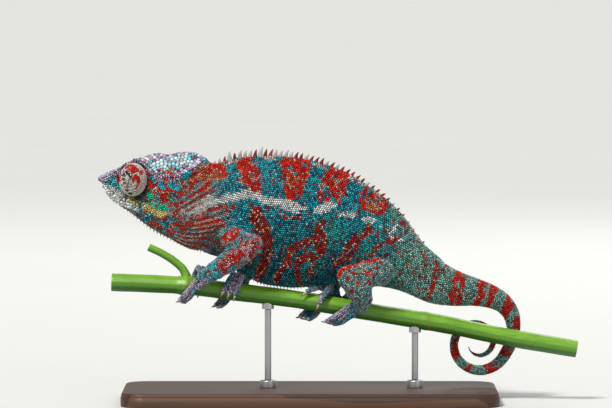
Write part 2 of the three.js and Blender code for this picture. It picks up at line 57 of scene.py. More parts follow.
BACK_LINE = [
    [-117.8, 125.4], [-116.6, 127.6], [-112.9, 130.6], [-102.6, 135.8], [-91.2, 140.7], [-86, 141.6],
    [-81.5, 140.9], [-75.2, 142.1], [-68.4, 142.6], [-63.3, 141.3], [-59.3, 138.6], [-55.9, 136.2],
    [-50.2, 137.3], [-39.9, 139.6], [-27.4, 140.5], [-14.3, 140.2], [-2.9, 138.8], [8.6, 135.6], [20, 131.1],
    [31.4, 124.8], [42.8, 116.6], [51.3, 108.3], [59.9, 96.9], [68.4, 86.4], [79, 77.8],
]
BELLY_LINE = [
    [-117.8, 122.6], [-116.4, 120], [-112.9, 115.7], [-102.6, 108.3], [-91.2, 99.6], [-79.8, 93.2],
    [-68.4, 87.7], [-55.9, 84.1], [-48.5, 80.9], [-39.9, 74.7], [-33.1, 69.8], [-25.7, 67], [-14.3, 65.4],
    [8.6, 66.7], [20, 67.3], [42.8, 65.3], [51.3, 63.3], [68.4, 57.6], [79, 55.6],
]
# The height at which each cross-section is widest, and its half width there.
WIDEST_LINE = [
    [-117.8, 124], [-108, 124.6], [-100, 124], [-92, 126], [-86, 127.6], [-78, 128], [-70, 124], [-62, 116],
    [-50, 108], [-35, 103], [-10, 100], [15, 97], [35, 90], [50, 82], [62, 75], [79, 66.5],
]
HALF_WIDTH = [
    [-117.8, 2.4], [-116.4, 4.6], [-113, 6.8], [-108, 8.4], [-102, 9], [-96, 9.8], [-91, 11.4], [-86, 13.2],
    [-80, 14.2], [-74, 14], [-67, 12.9], [-60, 12.2], [-52, 12.6], [-42, 14.6], [-28, 16.8], [-10, 17.6],
    [5, 17.2], [20, 16], [35, 14.2], [48, 12.2], [62, 10.2], [79, 9],
]
# How full a cross-section is above and below its widest height: 1 is a straight roof, 2 is round.
BACK_FULLNESS = [
    [-117.8, 2.2], [-104, 2.5], [-92, 1.9], [-84, 1.4], [-68, 1.35], [-58, 1.6], [-30, 1.65], [40, 1.75],
    [79, 2],
]
BELLY_FULLNESS = [[-117.8, 2], [-100, 2], [-86, 2.3], [-72, 2.3], [-58, 1.9], [0, 1.85], [45, 1.9], [79, 2]]
# The snout's flat process: X, Z, half width, half thickness.
SNOUT_PROCESS = [
    [-121.2, 126.9, 1.4, 0.9], [-120.3, 127.1, 3, 1.5], [-117.6, 127.9, 4.6, 1.9], [-113, 130, 6.6, 1.9],
    [-107, 132.6, 7.6, 1.6],
]
# One side's ridge, from the process over the eye and down behind it, then up the casque's edge.
RIDGE = [
    [-118, 3.6, 127.9], [-113, 6.4, 130.4], [-107, 7.6, 133.8], [-101, 8, 137], [-95.5, 9.2, 137.9],
    [-91, 11.6, 134.8], [-86.6, 13.2, 130.8], [-80, 14.2, 128.7], [-74, 13.8, 129.2], [-68, 11.2, 132.8],
    [-62.5, 6.2, 136.6], [-59, 1.5, 138.8],
]
RIDGE_RADIUS = 1.3
MOUTH_LINE = [
    [-120, 123.6], [-116.8, 121.2], [-113.4, 117.6], [-107.3, 115], [-101, 113.6], [-95, 110.6],
    [-89.5, 107], [-85, 104.6],
]
EYE_MIDDLE = np.array([-100.3, 9.8, 127.0])
EYE_GAZE = np.array([-0.2, 1.0, 0.36]) / np.linalg.norm([-0.2, 1.0, 0.36])
EYE_OVAL = np.array([0.9, 1, 1.09])
EYE_ROOM = 9.4  # radius of the groove that the turret sits in
TURRET_PROFILE = [
    [8.0, -1.6], [8.45, -0.2], [8.5, 1], [8.2, 2.4], [7.6, 3.8], [6.7, 5.1], [5.6, 6.1], [4.5, 6.85],
    [3.3, 7.4], [2.5, 7.75], [2.0, 7.85], [1.65, 7.6], [1.5, 7.1], [1.45, 6.3],
]
# Spines of the crests: X and height, at an even pitch.
BACK_CREST = [
    [-54.5, 2.4], [-47, 4], [-38, 5.2], [-24, 5.1], [-10, 4.5], [10, 3.9], [26, 3.3], [40, 2.6], [52, 1.8],
    [66, 1.2],
]
THROAT_CREST = [[-108, 0.5], [-96, 1], [-86, 1.2], [-74, 0.9], [-60, 0.5]]
BELLY_CREST = [[-34, 0.8], [-22, 1.3], [-4, 0.8]]
# The tail's centre line as X, Y, Z, half height, half width, then a flat spiral beside the stem.
TAIL_LINE = [
    [50, 0, 81.4, 16.4, 10.9], [62.4, 0, 73.9, 14, 10.2], [72.1, 0, 67.9, 12.2, 9.3],
    [82.9, 0.3, 64.6, 10.1, 8.4], [94, 1.4, 62.5, 8, 7.4], [103.7, 3.4, 59.6, 6.6, 6.3],
    [110.6, 5.6, 55.6, 5.6, 5.4], [115, 7.6, 49.6, 4.8, 4.7], [116.6, 9.2, 42.5, 4.1, 4],
]
SPIRAL_MIDDLE = [95.8, 9.6, 32.6]
SPIRAL_TURNS = range(25, 521, 15)
SPIRAL_RADIUS, SPIRAL_CLOSING = 17.6, 0.0238
SPIRAL_SIZE = [[0, 3.8], [60, 3.2], [120, 2.8], [220, 2.5], [320, 2.1], [420, 1.6], [520, 0.7]]
# The stem it grips, as X and Z, and its side shoot.
STEM_LINE = [
    [-113, 68.2], [-91, 67.4], [-70.7, 66.2], [-45.6, 63.1], [-5.7, 58], [39.9, 50.2], [74.1, 44.6],
    [108.3, 37.6], [152, 30.1],
]
STEM_RADIUS, STEM_RINGS, STEM_SIDES = 5, 260, 60
STEM_NODE, SECOND_SWELL, SECOND_NODE = -71, 66, 68.2  # X of the swollen joint and the faint one
SHOOT_LINE = [
    [-70.6, 0.3, 69.2], [-70.8, 0.4, 71.6], [-72.4, 0.6, 75.4], [-77.2, 1, 80], [-84, 1.4, 84.4],
    [-92, 1.6, 88.2],
]
SHOOT_RADIUS = 2.4
# Legs: joints as X, distance from the middle plane, Z and radius; the palm's X, its turn round the stem and
# its reach from the stem's middle; then for each bundle how many toes it has, its tip's X, turn, reach and
# arch, and how far its toes spread in X and in turn.
SHOULDER, HIP = [-49, 7, 95, 8.6], [47, 5, 77, 9.6]
LEGS = {
    "hand_left": {
        "side": -1, "palm": [-60.5, 46, 9],
        "outer": [2, -73, 158, 10, 0.4, 0, 0], "inner": [3, -66, -118, 7.9, 2.2, 0, 0],
        "joints": [SHOULDER, [-43, 14.5, 93.5, 6.6], [-32, 20.2, 90.4, 5.7], [-46, 14.5, 81, 6.3],
                   [-58.6, 8.2, 72, 4.6]],
    },
    "hand_right": {
        "side": 1, "palm": [-40, 44, 9],
        "outer": [2, -52, 166, 10.4, 0.2, 0, 0], "inner": [3, -46, -102, 7.9, 0.8, 0.6, 0],
        "joints": [SHOULDER, [-40, 15, 91, 6.6], [-27, 20.6, 84.5, 5.7], [-33, 15.4, 77.5, 6],
                   [-38.5, 9.4, 71.4, 4.6]],
    },
    "foot_left": {
        "side": -1, "palm": [28.6, 62, 8.4],
        "outer": [3, 12.4, 168, 10.4, 0.8, 0, 0], "inner": [2, 17.4, -108, 7.9, 0.8, 0, 0],
        "joints": [HIP, [35, 13.5, 74.2, 7.6], [21.8, 19.4, 73, 6.4], [28.2, 15, 63.6, 7],
                   [30.6, 9.6, 56.4, 5.4]],
    },
    "foot_right": {
        "side": 1, "palm": [11.5, 46, 9],
        "outer": [3, -2.4, 172, 10.4, 0.2, 0, 0], "inner": [2, 0.6, -76, 8, 0.6, 6, -34],
        "joints": [HIP, [34, 14, 77, 7.6], [20.5, 19.8, 77, 6.4], [15, 15, 71.6, 6.6],
                   [12.4, 9.2, 66, 5.2]],
    },
}
TOE_PITCH, TOE_BASE, TOE_TIP, PALM_RADIUS = 3, 2.35, 1.8, 4.9
CLAW_LENGTH, CLAW_RADIUS, CLAW_TIP, CLAW_HOOK, CLAW_ROOT = 3, 0.85, 0.12, 0.9, 0.9
CLAW_RINGS, CLAW_SIDES, SPINE_RINGS, SPINE_SIDES = 12, 14, 9, 10

# ---------------------------------------------------------------- curves and rings


def line(knots):
    """A smooth function through knots, whose first column is the place, held level past both ends."""
    table = np.array(knots, float)
    place, value = table[:, 0], table[:, 1:]
    slope = np.gradient(value, place, axis=0)

    def at(x):
        x = np.clip(np.asarray(x, float), place[0], place[-1])
        i = np.clip(np.searchsorted(place, x, side="right") - 1, 0, len(place) - 2)
        span = (place[i + 1] - place[i])[..., None]
        t = (x - place[i])[..., None] / span
        start = (1 - t) ** 2 * ((1 + 2 * t) * value[i] + t * span * slope[i])
        end = t * t * ((3 - 2 * t) * value[i + 1] + (t - 1) * span * slope[i + 1])
        made = start + end
        return made[..., 0] if value.shape[1] == 1 else made

    return at


def reach_along(points):
    """How far along a row of points each one lies."""
    return np.concatenate([[0], np.cumsum(np.linalg.norm(np.diff(points, axis=0), axis=1))])


def way(points):
    """A smooth way through points, as a function of the share of its length."""
    points = np.array(points, float)
    reach = reach_along(points[:, :3])
    return line(np.column_stack([reach / reach[-1], points]))


def unit(vectors):
    return vectors / np.maximum(np.linalg.norm(vectors, axis=-1, keepdims=True), 1e-9)


def across(vectors, direction):
    """The part of each vector that is square to a direction."""
    return vectors - direction * np.sum(vectors * direction, axis=-1, keepdims=True)


def step(low, high, value):
    """A smooth rise from 0 at low to 1 at high."""
    t = np.clip((value - low) / (high - low), 0, 1)
    return t * t * (3 - 2 * t)


def bump_at(value, middle, width):
    return np.exp(-(((value - middle) / width) ** 2))


def mirrored(side):
    return np.array([1, side, 1])


def all_round(sides):
    return np.linspace(0, 2 * math.pi, sides, endpoint=False)


def tube_rings(middles, radius, sides, sideways=Y_WAY, high=None):
    """Rings round a row of middles. radius is the half size in the sideways direction."""
    high = radius if high is None else high
    along = unit(np.gradient(middles, axis=0))
    side = unit(across(np.broadcast_to(sideways, along.shape), along))
    up = np.cross(along, side)
    turn = all_round(sides)
    out = side[:, None] * (radius[:, None] * np.cos(turn))[..., None]
    rise = up[:, None] * (high[:, None] * np.sin(turn))[..., None]
    return middles[:, None] + out + rise


def ball_rings(middle, radius, rings=18, sides=28):
    lean = np.linspace(-math.pi / 2 + 0.08, math.pi / 2 - 0.08, rings)
    middles = np.array(middle, float) + X_WAY * (radius * np.sin(lean))[:, None]
    turn = all_round(sides)
    ring = Y_WAY * np.cos(turn)[:, None] + Z_WAY * np.sin(turn)[:, None]
    return middles[:, None] + ring[None] * (radius * np.cos(lean))[:, None, None]


def joined(ring_sets):
    """The points and faces of closed tubes with a flat face at each end, and each tube's number of faces."""
    points, faces, counts, offset = [], [], [], 0
    for rings in ring_sets:
        number = offset + np.arange(rings.shape[0] * rings.shape[1]).reshape(rings.shape[:2])
        beside = np.roll(number, -1, axis=1)
        quads = np.stack([number[:-1], beside[:-1], beside[1:], number[1:]], axis=-1).reshape(-1, 4)
        faces += quads.tolist() + [number[0, ::-1].tolist(), number[-1].tolist()]
        counts.append(len(quads) + 2)
        points.append(rings.reshape(-1, 3))
        offset += len(points[-1])
    return np.concatenate(points), faces, counts


# ---------------------------------------------------------------- the animal's shape in smooth rings

back, belly = line(BACK_LINE), line(BELLY_LINE)
widest, half_width = line(WIDEST_LINE), line(HALF_WIDTH)
back_fullness, belly_fullness = line(BACK_FULLNESS), line(BELLY_FULLNESS)
stem_height = line(STEM_LINE)


def section(x, turn):
    """The trunk's outline across its length: Y and Z at each turn from its widest height."""
    rise, out = np.sin(turn), np.cos(turn)
    power = 2 / np.where(rise > 0, back_fullness(x), belly_fullness(x))
    height = np.where(rise > 0, back(x) - widest(x), widest(x) - belly(x))
    y = half_width(x) * np.sign(out) * np.abs(out) ** power
    z = widest(x) + height * np.sign(rise) * np.abs(rise) ** power
    return y, z


def body_rings():
    x = line([[0, -117.8], [0.07, -115], [0.4, -62], [1, 80]])(np.linspace(0, 1, 230))[:, None]
    y, z = section(x, all_round(96)[None])
    return np.stack([x + 0 * y, y, z], axis=-1)


def process_rings():
    x, z, wide, thick = line([[i, *row] for i, row in enumerate(SNOUT_PROCESS)])(np.linspace(0, 4, 24)).T
    return tube_rings(np.stack([x, 0 * x, z], axis=-1), wide, 40, Y_WAY, thick)


def ridge_rings(side):
    share = np.linspace(0, 1, 90)
    radius = RIDGE_RADIUS * (0.75 + 0.4 * np.sin(math.pi * share))
    return tube_rings(way(RIDGE)(share) * mirrored(side), radius, 16, Z_WAY)


def tail_points():
    rows = [list(row) for row in TAIL_LINE]
    for turn in SPIRAL_TURNS:
        radius, size = SPIRAL_RADIUS - SPIRAL_CLOSING * turn, float(line(SPIRAL_SIZE)(turn))
        x = SPIRAL_MIDDLE[0] + radius * math.cos(math.radians(turn))
        z = SPIRAL_MIDDLE[2] - radius * math.sin(math.radians(turn))
        rows.append([x, SPIRAL_MIDDLE[1], z, size, size])
    return rows


tail_way = way(tail_points())


def tail_rings():
    rows = tail_way(np.linspace(0, 1, 360))
    return tube_rings(rows[:, :3], rows[:, 4], 44, Y_WAY, rows[:, 3])


def leg_points(leg):
    return [[x, leg["side"] * out, z, radius] for x, out, z, radius in leg["joints"]]


def leg_rings(leg):
    """The rings of the bend, of the upper length and of the lower length."""
    joints = leg_points(leg)
    made = [ball_rings(joints[2][:3], joints[2][3])]
    share = np.linspace(0, 1, 44)
    for first, start in ((0, np.sqrt(np.clip(share / 0.3, 0.05, 1))), (2, 1)):
        rows = way(joints[first:first + 3])(share)
        made.append(tube_rings(rows[:, :3], rows[:, 3] * start, 32))
    return made


def beside_stem(x, turn, reach):
    """A point beside the stem, from X, the turn round the stem from its top, and reach from its middle."""
    slope = (stem_height(x + 1) - stem_height(x - 1)) / 2
    up = np.cos(turn) * reach / np.sqrt(1 + slope ** 2)
    return np.stack([x - slope * up, np.sin(turn) * reach, stem_height(x) + up], axis=-1)


def toe_way(leg, bundle, index):
    """The line of one toe, from the palm round the stem to its tip. Toes of a bundle run side by side."""
    palm_x, palm_turn, palm_reach = leg["palm"]
    count, tip_x, tip_turn, tip_reach, arch, splay_x, splay_turn = leg[bundle]
    offset = index - (count - 1) / 2
    run = tip_x - palm_x
    wrap = math.radians(tip_turn - palm_turn) * tip_reach
    slant = math.hypot(run, wrap)
    share = np.linspace(0, 1, 6)
    aside = offset * TOE_PITCH * (0.6 + 0.4 * share)
    x = palm_x + run * share ** 0.9 + aside * abs(wrap) / slant + offset * splay_x * share
    turn = np.radians(palm_turn + (tip_turn + offset * splay_turn - palm_turn) * share)
    turn = turn - aside * run * np.sign(wrap) / slant / tip_reach
    lift = arch * np.sin(math.pi * np.minimum(1, 1.5 * share))
    return way(beside_stem(x, turn * leg["side"], palm_reach + (tip_reach - palm_reach) * share + lift))


def toe_rings(middle_way):
    share = np.linspace(0, 1, 26)
    knuckles = 1 + 0.07 * np.cos(share * 3 * 2 * math.pi)
    rounded = np.sqrt(np.clip(1 - (np.maximum(share - 0.86, 0) / 0.16) ** 2, 0, 1))
    radius = (TOE_BASE + (TOE_TIP - TOE_BASE) * share) * knuckles * rounded
    return tube_rings(middle_way(share), radius, 20, np.array([1, 0, 0.02]))


# Each zone of the animal has its closed forms, and an axis that its scales are laid out along.
TOES = {name: [toe_way(leg, part, i) for part in ("outer", "inner") for i in range(leg[part][0])]
        for name, leg in LEGS.items()}
ZONES = {"body": [body_rings(), process_rings(), ridge_rings(1), ridge_rings(-1)], "tail": [tail_rings()]}
for leg_name, leg in LEGS.items():
    ZONES["leg_" + leg_name] = leg_rings(leg)
    palm_x, palm_turn, palm_reach = leg["palm"]
    palm = ball_rings(beside_stem(palm_x, math.radians(palm_turn) * leg["side"], palm_reach), PALM_RADIUS)
    ZONES[leg_name] = [palm] + [toe_rings(toe) for toe in TOES[leg_name]]
ZONE_NAMES = list(ZONES)
FORM_POINTS, FORM_FACES, form_counts = joined([rings for forms in ZONES.values() for rings in forms])
FORM_TREE = BVHTree.FromPolygons(FORM_POINTS.tolist(), FORM_FACES)
FORM_ZONE = np.repeat([i for i, forms in enumerate(ZONES.values()) for rings in forms], form_counts)

# ---------------------------------------------------------------- meshes


def linked(name, data):
    made = bpy.data.objects.new(name, data)
    bpy.context.scene.collection.objects.link(made)
    return made


def mesh_from(name, points, corners, starts, smooth=True):
    """A mesh object from points in millimetres, its faces' corners in a row, and where each face starts."""
    mesh = bpy.data.meshes.new(name)
    mesh.vertices.add(len(points))
    mesh.vertices.foreach_set("co", (np.asarray(points) * MM).astype(np.float32).ravel())
    mesh.loops.add(len(corners))
    mesh.loops.foreach_set("vertex_index", np.asarray(corners, np.int32))
    mesh.polygons.add(len(starts))
    mesh.polygons.foreach_set("loop_start", np.asarray(starts, np.int32))
    mesh.update(calc_edges=True)
    if smooth:
        mesh.shade_smooth()
    else:
        mesh.shade_flat()
    return linked(name, mesh)


def tubes(name, ring_sets, smooth=True, last=None):
    """One mesh of closed tubes. Faces from last on are left out."""
    points, faces, _ = joined(ring_sets)
    sizes = [len(face) for face in faces[:last]]
    return mesh_from(name, points, np.concatenate(faces[:last]), np.cumsum([0] + sizes[:-1]), smooth)


def read(items, key, width, kind=float):
    """What a mesh's points, edges or corners hold under that key, as rows."""
    values = np.zeros(len(items) * width, np.int32 if kind is int else np.float32)
    items.foreach_get(key, values)
    return values.reshape(-1, width).astype(kind)


def move_points(mesh, points):
    mesh.vertices.foreach_set("co", np.asarray(points, np.float32).ravel())
    mesh.update()


def give(mesh, **marks):
    """Values for each point, as attributes that a material can read."""
    for name, values in marks.items():
        attribute = mesh.attributes.new(name, "FLOAT", "POINT")
        attribute.data.foreach_set("value", np.asarray(values, np.float32))


def lay_flat(mesh, places):
    """The bake map, from each corner's place."""
    mesh.uv_layers.new(name="OFBake").data.foreach_set("uv", places.astype(np.float32).ravel())


def dress(piece, finish, slot, *nodes):
    """Gives a piece its material and body, and hides the nodes that it stands for; slot is not used."""
    piece.data.materials.append(finish.material)
    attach(piece, "root")
    if nodes:
        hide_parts(*nodes)


def smoothed(points, edges, times, weight=0.5):
    """Points moved towards the middle of their neighbours."""
    count = len(points)
    a, b = edges.T
    links = np.bincount(a, minlength=count) + np.bincount(b, minlength=count)
    for _ in range(times):
        middle = np.stack([
            np.bincount(a, points[b, k], count) + np.bincount(b, points[a, k], count) for k in range(3)
        ], axis=-1) / links[:, None]
        points = points + (middle - points) * weight
    return points


def merged_skin(voxel):
    """One closed mesh round all the forms, in millimetres."""
    mesh = bpy.data.meshes.new("forms")
    mesh.from_pydata(FORM_POINTS.tolist(), [], FORM_FACES)
    bm = bmesh.new()
    bm.from_mesh(mesh)
    bmesh.ops.recalc_face_normals(bm, faces=bm.faces)
    bm.to_mesh(mesh)
    bm.free()
    work = linked("forms", mesh)
    remesh = work.modifiers.new("merge", "REMESH")
    remesh.mode = "VOXEL"
    remesh.voxel_size = voxel
    made = bpy.data.meshes.new_from_object(work.evaluated_get(bpy.context.evaluated_depsgraph_get()))
    bpy.data.objects.remove(work)
    return made


# ---------------------------------------------------------------- places on the animal


def zone_axis(zone):
    if zone == "body":
        x = np.linspace(-122, 80, 240)
        return np.stack([x, 0 * x, widest(x)], axis=-1)
    if zone == "tail":
        return tail_way(np.linspace(0, 1, 420))[:, :3]
    if zone.startswith("leg_"):
        joints, share = leg_points(LEGS[zone[4:]]), np.linspace(0, 1, 40)
        return np.concatenate([way(joints[:3])(share)[:, :3], way(joints[2:])(share)[1:, :3]])
    x = LEGS[zone]["palm"][0] + np.linspace(-30, 14, 60)
    return np.stack([x, 0 * x, stem_height(x)], axis=-1)


class Places:
    """Where points lie on the animal: zone, millimetres along its axis, turn round it, and the lie."""

    def __init__(self, points, zone=None):
        if zone is None:
            zone = FORM_ZONE[[FORM_TREE.find_nearest(p)[2] for p in points.tolist()]]
        self.points, self.zone = points, zone
        self.along, self.share, self.turn = np.zeros((3, len(points)))
        self.lie = np.zeros((len(points), 3))
        for number, axis in enumerate(map(zone_axis, ZONE_NAMES)):
            here = np.flatnonzero(zone == number)
            if not len(here):
                continue
            reach = reach_along(axis)
            nearest = np.concatenate([
                np.argmin(((part[:, None] - axis[None]) ** 2).sum(-1), axis=1)
                for part in np.array_split(points[here], len(here) // 4000 + 1)
            ])
            along = unit(np.gradient(axis, axis=0))[nearest]
            side = unit(across(np.broadcast_to(Y_WAY, along.shape), along))
            off = points[here] - axis[nearest]
            self.along[here] = reach[nearest]
            self.share[here] = reach[nearest] / reach[-1]
            self.turn[here] = np.arctan2((off * np.cross(side, along)).sum(-1), (off * side).sum(-1))
            self.lie[here] = along

    def where(self, *names):
        """1 on the zones whose names start so, else 0."""
        numbers = [i for i, zone in enumerate(ZONE_NAMES) if zone.startswith(names)]
        return np.isin(self.zone, numbers).astype(float)


def waves(points, size, seed, count=14):
    """Smooth random noise, about -1 to 1, whose lumps are about the size given."""
    dice = np.random.default_rng(SEED + seed)
    ways = unit(dice.normal(size=(count, 3))) / (size * dice.uniform(1.4, 2.8, size=(count, 1)))
    turns = points @ (2 * math.pi * ways.T) + dice.uniform(0, 2 * math.pi, count)
    return np.sin(turns).sum(-1) / math.sqrt(count)


def along_stroke(x, z, points):
    """How far inside a stroke a place seen from the side is. Points are X, Z and half width."""
    best = np.full(len(x), -1e3)
    knots = np.array(points, float)
    if len(knots) == 1:
        knots = np.concatenate([knots, knots + [0.01, 0, 0]])
    for (ax, az, aw), (bx, bz, bw) in zip(knots[:-1], knots[1:]):
        length = (bx - ax) ** 2 + (bz - az) ** 2
        t = np.clip(((x - ax) * (bx - ax) + (z - az) * (bz - az)) / length, 0, 1)
        off = np.hypot(x - ax - t * (bx - ax), z - az - t * (bz - az))
        best = np.maximum(best, aw + (bw - aw) * t - off)
    return best


def strokes(x, z, rows, ragged, soft=0.35):
    """Cover from 0 to 1 of a list of strokes with ragged edges."""
    best = np.max([along_stroke(x, z, points) for points in rows], axis=0)
    return step(-soft, soft, best + ragged)


# ---------------------------------------------------------------- the skin

SKIN_VOXEL, SKIN_SMOOTHINGS = 0.76, 10
FAN_MIDDLE, FAN_PITCH = [-90.0, 99.8], 0.115  # the neck's folds fan out from a point behind the jaw
TOE_LINES = {name: [toe(np.linspace(0.25, 1, 24)) for toe in toes] for name, toes in TOES.items()}


def eye_reach(points):
    """Distance from the eye's line of sight, in the turret's oval, on the nearer side, and along it."""
    near = points * mirrored(0) + np.abs(points[:, 1:2]) * Y_WAY
    off = (near - EYE_MIDDLE) / EYE_OVAL
    height = off @ EYE_GAZE
    return np.linalg.norm(off - height[:, None] * EYE_GAZE, axis=1), height


def mouth_reach(points):
    return -along_stroke(points[:, 0], points[:, 2], [[x, z, 0] for x, z in MOUTH_LINE])


def fold_beat(points):
    """The rise and fall of the neck's folds, from -1 to 1, and how much room they have at each point."""
    x, z = points[:, 0] - FAN_MIDDLE[0], points[:, 2] - FAN_MIDDLE[1]
    turn, far = np.arctan2(z, x), np.hypot(x, z)
    room = step(9, 17, far) * step(50, 34, far) * step(-0.85, -0.5, turn) * step(0.95, 0.6, turn)
    return np.sin(turn / FAN_PITCH * 2 * math.pi + 2.3 * waves(points, 12, 3)), room


def toe_groove(points, zone):
    """How deep each point is in the groove between two toes, from 0 to 1."""
    made = np.zeros(len(points))
    for name, lines in TOE_LINES.items():
        here = np.flatnonzero(zone == ZONE_NAMES.index(name))
        reach = np.stack([
            np.sqrt(((points[here][:, None] - toe[None]) ** 2).sum(-1)).min(1) for toe in lines
        ], axis=-1)
        reach.sort(axis=1)
        made[here] = bump_at(reach[:, 1] - reach[:, 0], 0, 0.62) * step(4.2, 3.2, reach[:, 0])
    return made


def skin_relief(points, places):
    """The skin's own relief: how far each point moves outwards."""
    x, z = points[:, 0], points[:, 2]
    body, leg = places.where("body"), places.where("leg")
    lip = mouth_reach(points)
    mouth = body * step(-122, -118, x)
    move = -0.5 * mouth * bump_at(lip, 0, 0.55) + 0.22 * mouth * bump_at(lip, 1.5, 0.9)
    beat, room = fold_beat(points)
    move += 0.5 * body * room * beat
    # low wrinkles across the flank, where the ribs show through
    move += 0.2 * body * step(-45, -20, x) * np.sin(x / 5.2 + z / 31 + 0.8 * waves(points, 22, 4))
    # creases at the elbow, the knee and the wrist
    bent = bump_at(places.share, 0.5, 0.1) + bump_at(places.share, 0.93, 0.06)
    move += 0.3 * leg * bent * np.sin(places.along / 0.62 + 1.2 * waves(points, 6, 5))
    ripples = 0.22 * leg * np.sin(places.along / 1.5 + 2 * waves(points, 9, 6))
    move += ripples + 0.3 * leg * waves(points, 9, 7)
    return move - 1.3 * toe_groove(points, places.zone)


skin_mesh = merged_skin(SKIN_VOXEL)
skin_points = read(skin_mesh.vertices, "co", 3)
skin_edges = read(skin_mesh.edges, "vertices", 2, int)
skin_places = Places(skin_points)
calm = 1 - 0.6 * skin_places.where("hand", "foot")
skin_points = smoothed(skin_points, skin_edges, SKIN_SMOOTHINGS, 0.5 * calm[:, None])
move_points(skin_mesh, skin_points)
relief = skin_relief(skin_points, skin_places)
skin_points = skin_points + read(skin_mesh.vertices, "normal", 3) * (relief - COAT_DEPTH)[:, None]
# the groove that the turrets sit in
off_axis, height = eye_reach(skin_points)
gaze_here = EYE_GAZE * (mirrored(0) + np.sign(skin_points[:, 1:2]) * Y_WAY)
dent = step(EYE_ROOM + 0.5, EYE_ROOM - 1.2, off_axis) * np.clip(height + 2.6, 0, 8) * (height > -6)
skin_points -= gaze_here * dent[:, None]
skin_points = smoothed(skin_points, skin_edges, 1)
move_points(skin_mesh, skin_points)
skin_normals = read(skin_mesh.vertices, "normal", 3)
skin_faces = read(skin_mesh.loops, "vertex_index", 1, int).reshape(-1, 4)
skin_tree = BVHTree.FromPolygons(skin_points.tolist(), skin_faces.tolist())
skin_places = Places(skin_points, skin_places.zone)

# ---------------------------------------------------------------- where the scales stand

# The pitch of the scales by X on the body, and by the share of its length on the tail.
BODY_PITCH = [
    [-122, 1.15], [-100, 1.2], [-86, 1.2], [-74, 1.05], [-56, 1.1], [-40, 1.25], [60, 1.28], [80, 1.25],
]
TAIL_PITCH = [[0, 1.25], [0.35, 1.15], [0.7, 1.0], [1, 0.8]]
LEG_PITCH, FOOT_PITCH, KEPT_PITCH = 1.15, 0.98, 1.4
# Single rows along the ridges, the lips and both sides of the back's crest.
RIDGE_PITCH, RIDGE_LENGTH, LIP_PITCH, LIP_LENGTH, LIP_LIFT = 1.6, 78, 1.9, 38, 1.15
CREST_ASIDE, CREST_SPAN, CREST_COUNT = (1.6, 3.1), (-56, 76), 96
# The flank's rows: pitch along and between them, most rows to a side, and the slices they are worked out in.
ROW_STEP, ROW_PITCH, ROW_COUNT, SLICE = 1.12, 1.2, 40, 0.25
ROW_MIDDLE = line([[-60, 111], [-35, 107], [-10, 103.5], [20, 99], [45, 88], [76, 67]])
ROW_SPAN = [-52, 64]


def scale_pitch(points, places):
    """How far apart the scales stand at each point."""
    x, z = points[:, 0], points[:, 2]
    casque = step(-98, -90, x) * step(-57, -62, x) * step(129.5, 132.5, z)
    lips = step(2.6, 1.8, mouth_reach(points)) * step(-88, -92, x)
    body = line(BODY_PITCH)(x) + 1.25 * casque + 1.05 * lips - 0.2 * fold_beat(points)[1]
    made = np.where(places.where("tail") > 0, line(TAIL_PITCH)(places.share), body)
    made = np.where(places.where("leg") > 0, LEG_PITCH, made)
    return np.where(places.where("hand", "foot") > 0, FOOT_PITCH, made)


def scattered(density):
    """Seeded points over the skin, at that many to the square millimetre, and a skin point by each."""
    dice = np.random.default_rng(SEED)
    a, b, c, d = (skin_points[skin_faces[:, k]] for k in range(4))
    wanted = np.linalg.norm(np.cross(c - a, d - b), axis=1) / 2 * density[skin_faces[:, 0]]
    count = int(wanted.sum())
    face = dice.choice(len(wanted), count, p=wanted / wanted.sum())
    u, v = dice.random((2, count, 1))
    low = a[face] + (b[face] - a[face]) * u
    high = d[face] + (c[face] - d[face]) * u
    return low + (high - low) * v, skin_faces[face, 0]


def tree_of(points):
    tree = KDTree(len(points))
    for i, place in enumerate(points.tolist()):
        tree.insert(place, i)
    tree.balance()
    return tree


def reach_to(others, points):
    """How far each point is from the nearest of the others."""
    tree = tree_of(others)
    return np.array([tree.find(place)[2] for place in points.tolist()])


def neighbours_of(points, count):
    tree = tree_of(points)
    return np.array([[hit[1] for hit in tree.find_n(place, count + 1)][1:] for place in points.tolist()])


def on_skin(points):
    """Each point's nearest place on the skin, and the face it is on."""
    hits = [skin_tree.find_nearest(place) for place in points.tolist()]
    return np.array([hit[0] for hit in hits]), np.array([hit[2] for hit in hits])


def settled(points, pitch, kept, rounds):
    """Points pushed apart to an even pitch. The first ones, kept in number, stay in place."""
    for _ in range(rounds):
        near = neighbours_of(points, 8)
        for _ in range(2):
            off = points[:, None] - points[near]
            far = np.linalg.norm(off, axis=-1)
            push = np.clip(1.04 - far / pitch[:, None], 0, 1)
            move = (off / np.maximum(far, 1e-6)[..., None] * push[..., None]).sum(1) * pitch[:, None] * 0.42
            move[:kept] = 0
            points = points + move
        moved, face = on_skin(points[kept:])
        points = np.concatenate([points[:kept], moved])
        pitch = skin_pitch[skin_faces[np.concatenate([np.zeros(kept, int), face]), 0]]
    return points


def bare_places(points):
    """Places on the skin that no root is near, one for each gap."""
    bare = reach_to(points, skin_points) / skin_pitch
    order = np.argsort(-bare)
    order = order[bare[order] > 0.72]
    near = tree_of(skin_points[order])
    taken = np.zeros(len(skin_points), bool)
    found = []
    for v in order.tolist():
        if not taken[v]:
            found.append(skin_points[v])
            for hit in near.find_range(skin_points[v], skin_pitch[v] * 0.95):
                taken[order[hit[1]]] = True
    return np.array(found).reshape(-1, 3)


def even_row(middle_way, pitch, length):
    return middle_way(np.linspace(0, 1, int(length / pitch)))[:, :3]


def ridge_row(side, lift, aside):
    row = even_row(way(RIDGE), RIDGE_PITCH, RIDGE_LENGTH) * mirrored(side)
    return row + np.array([0, side * aside, lift])


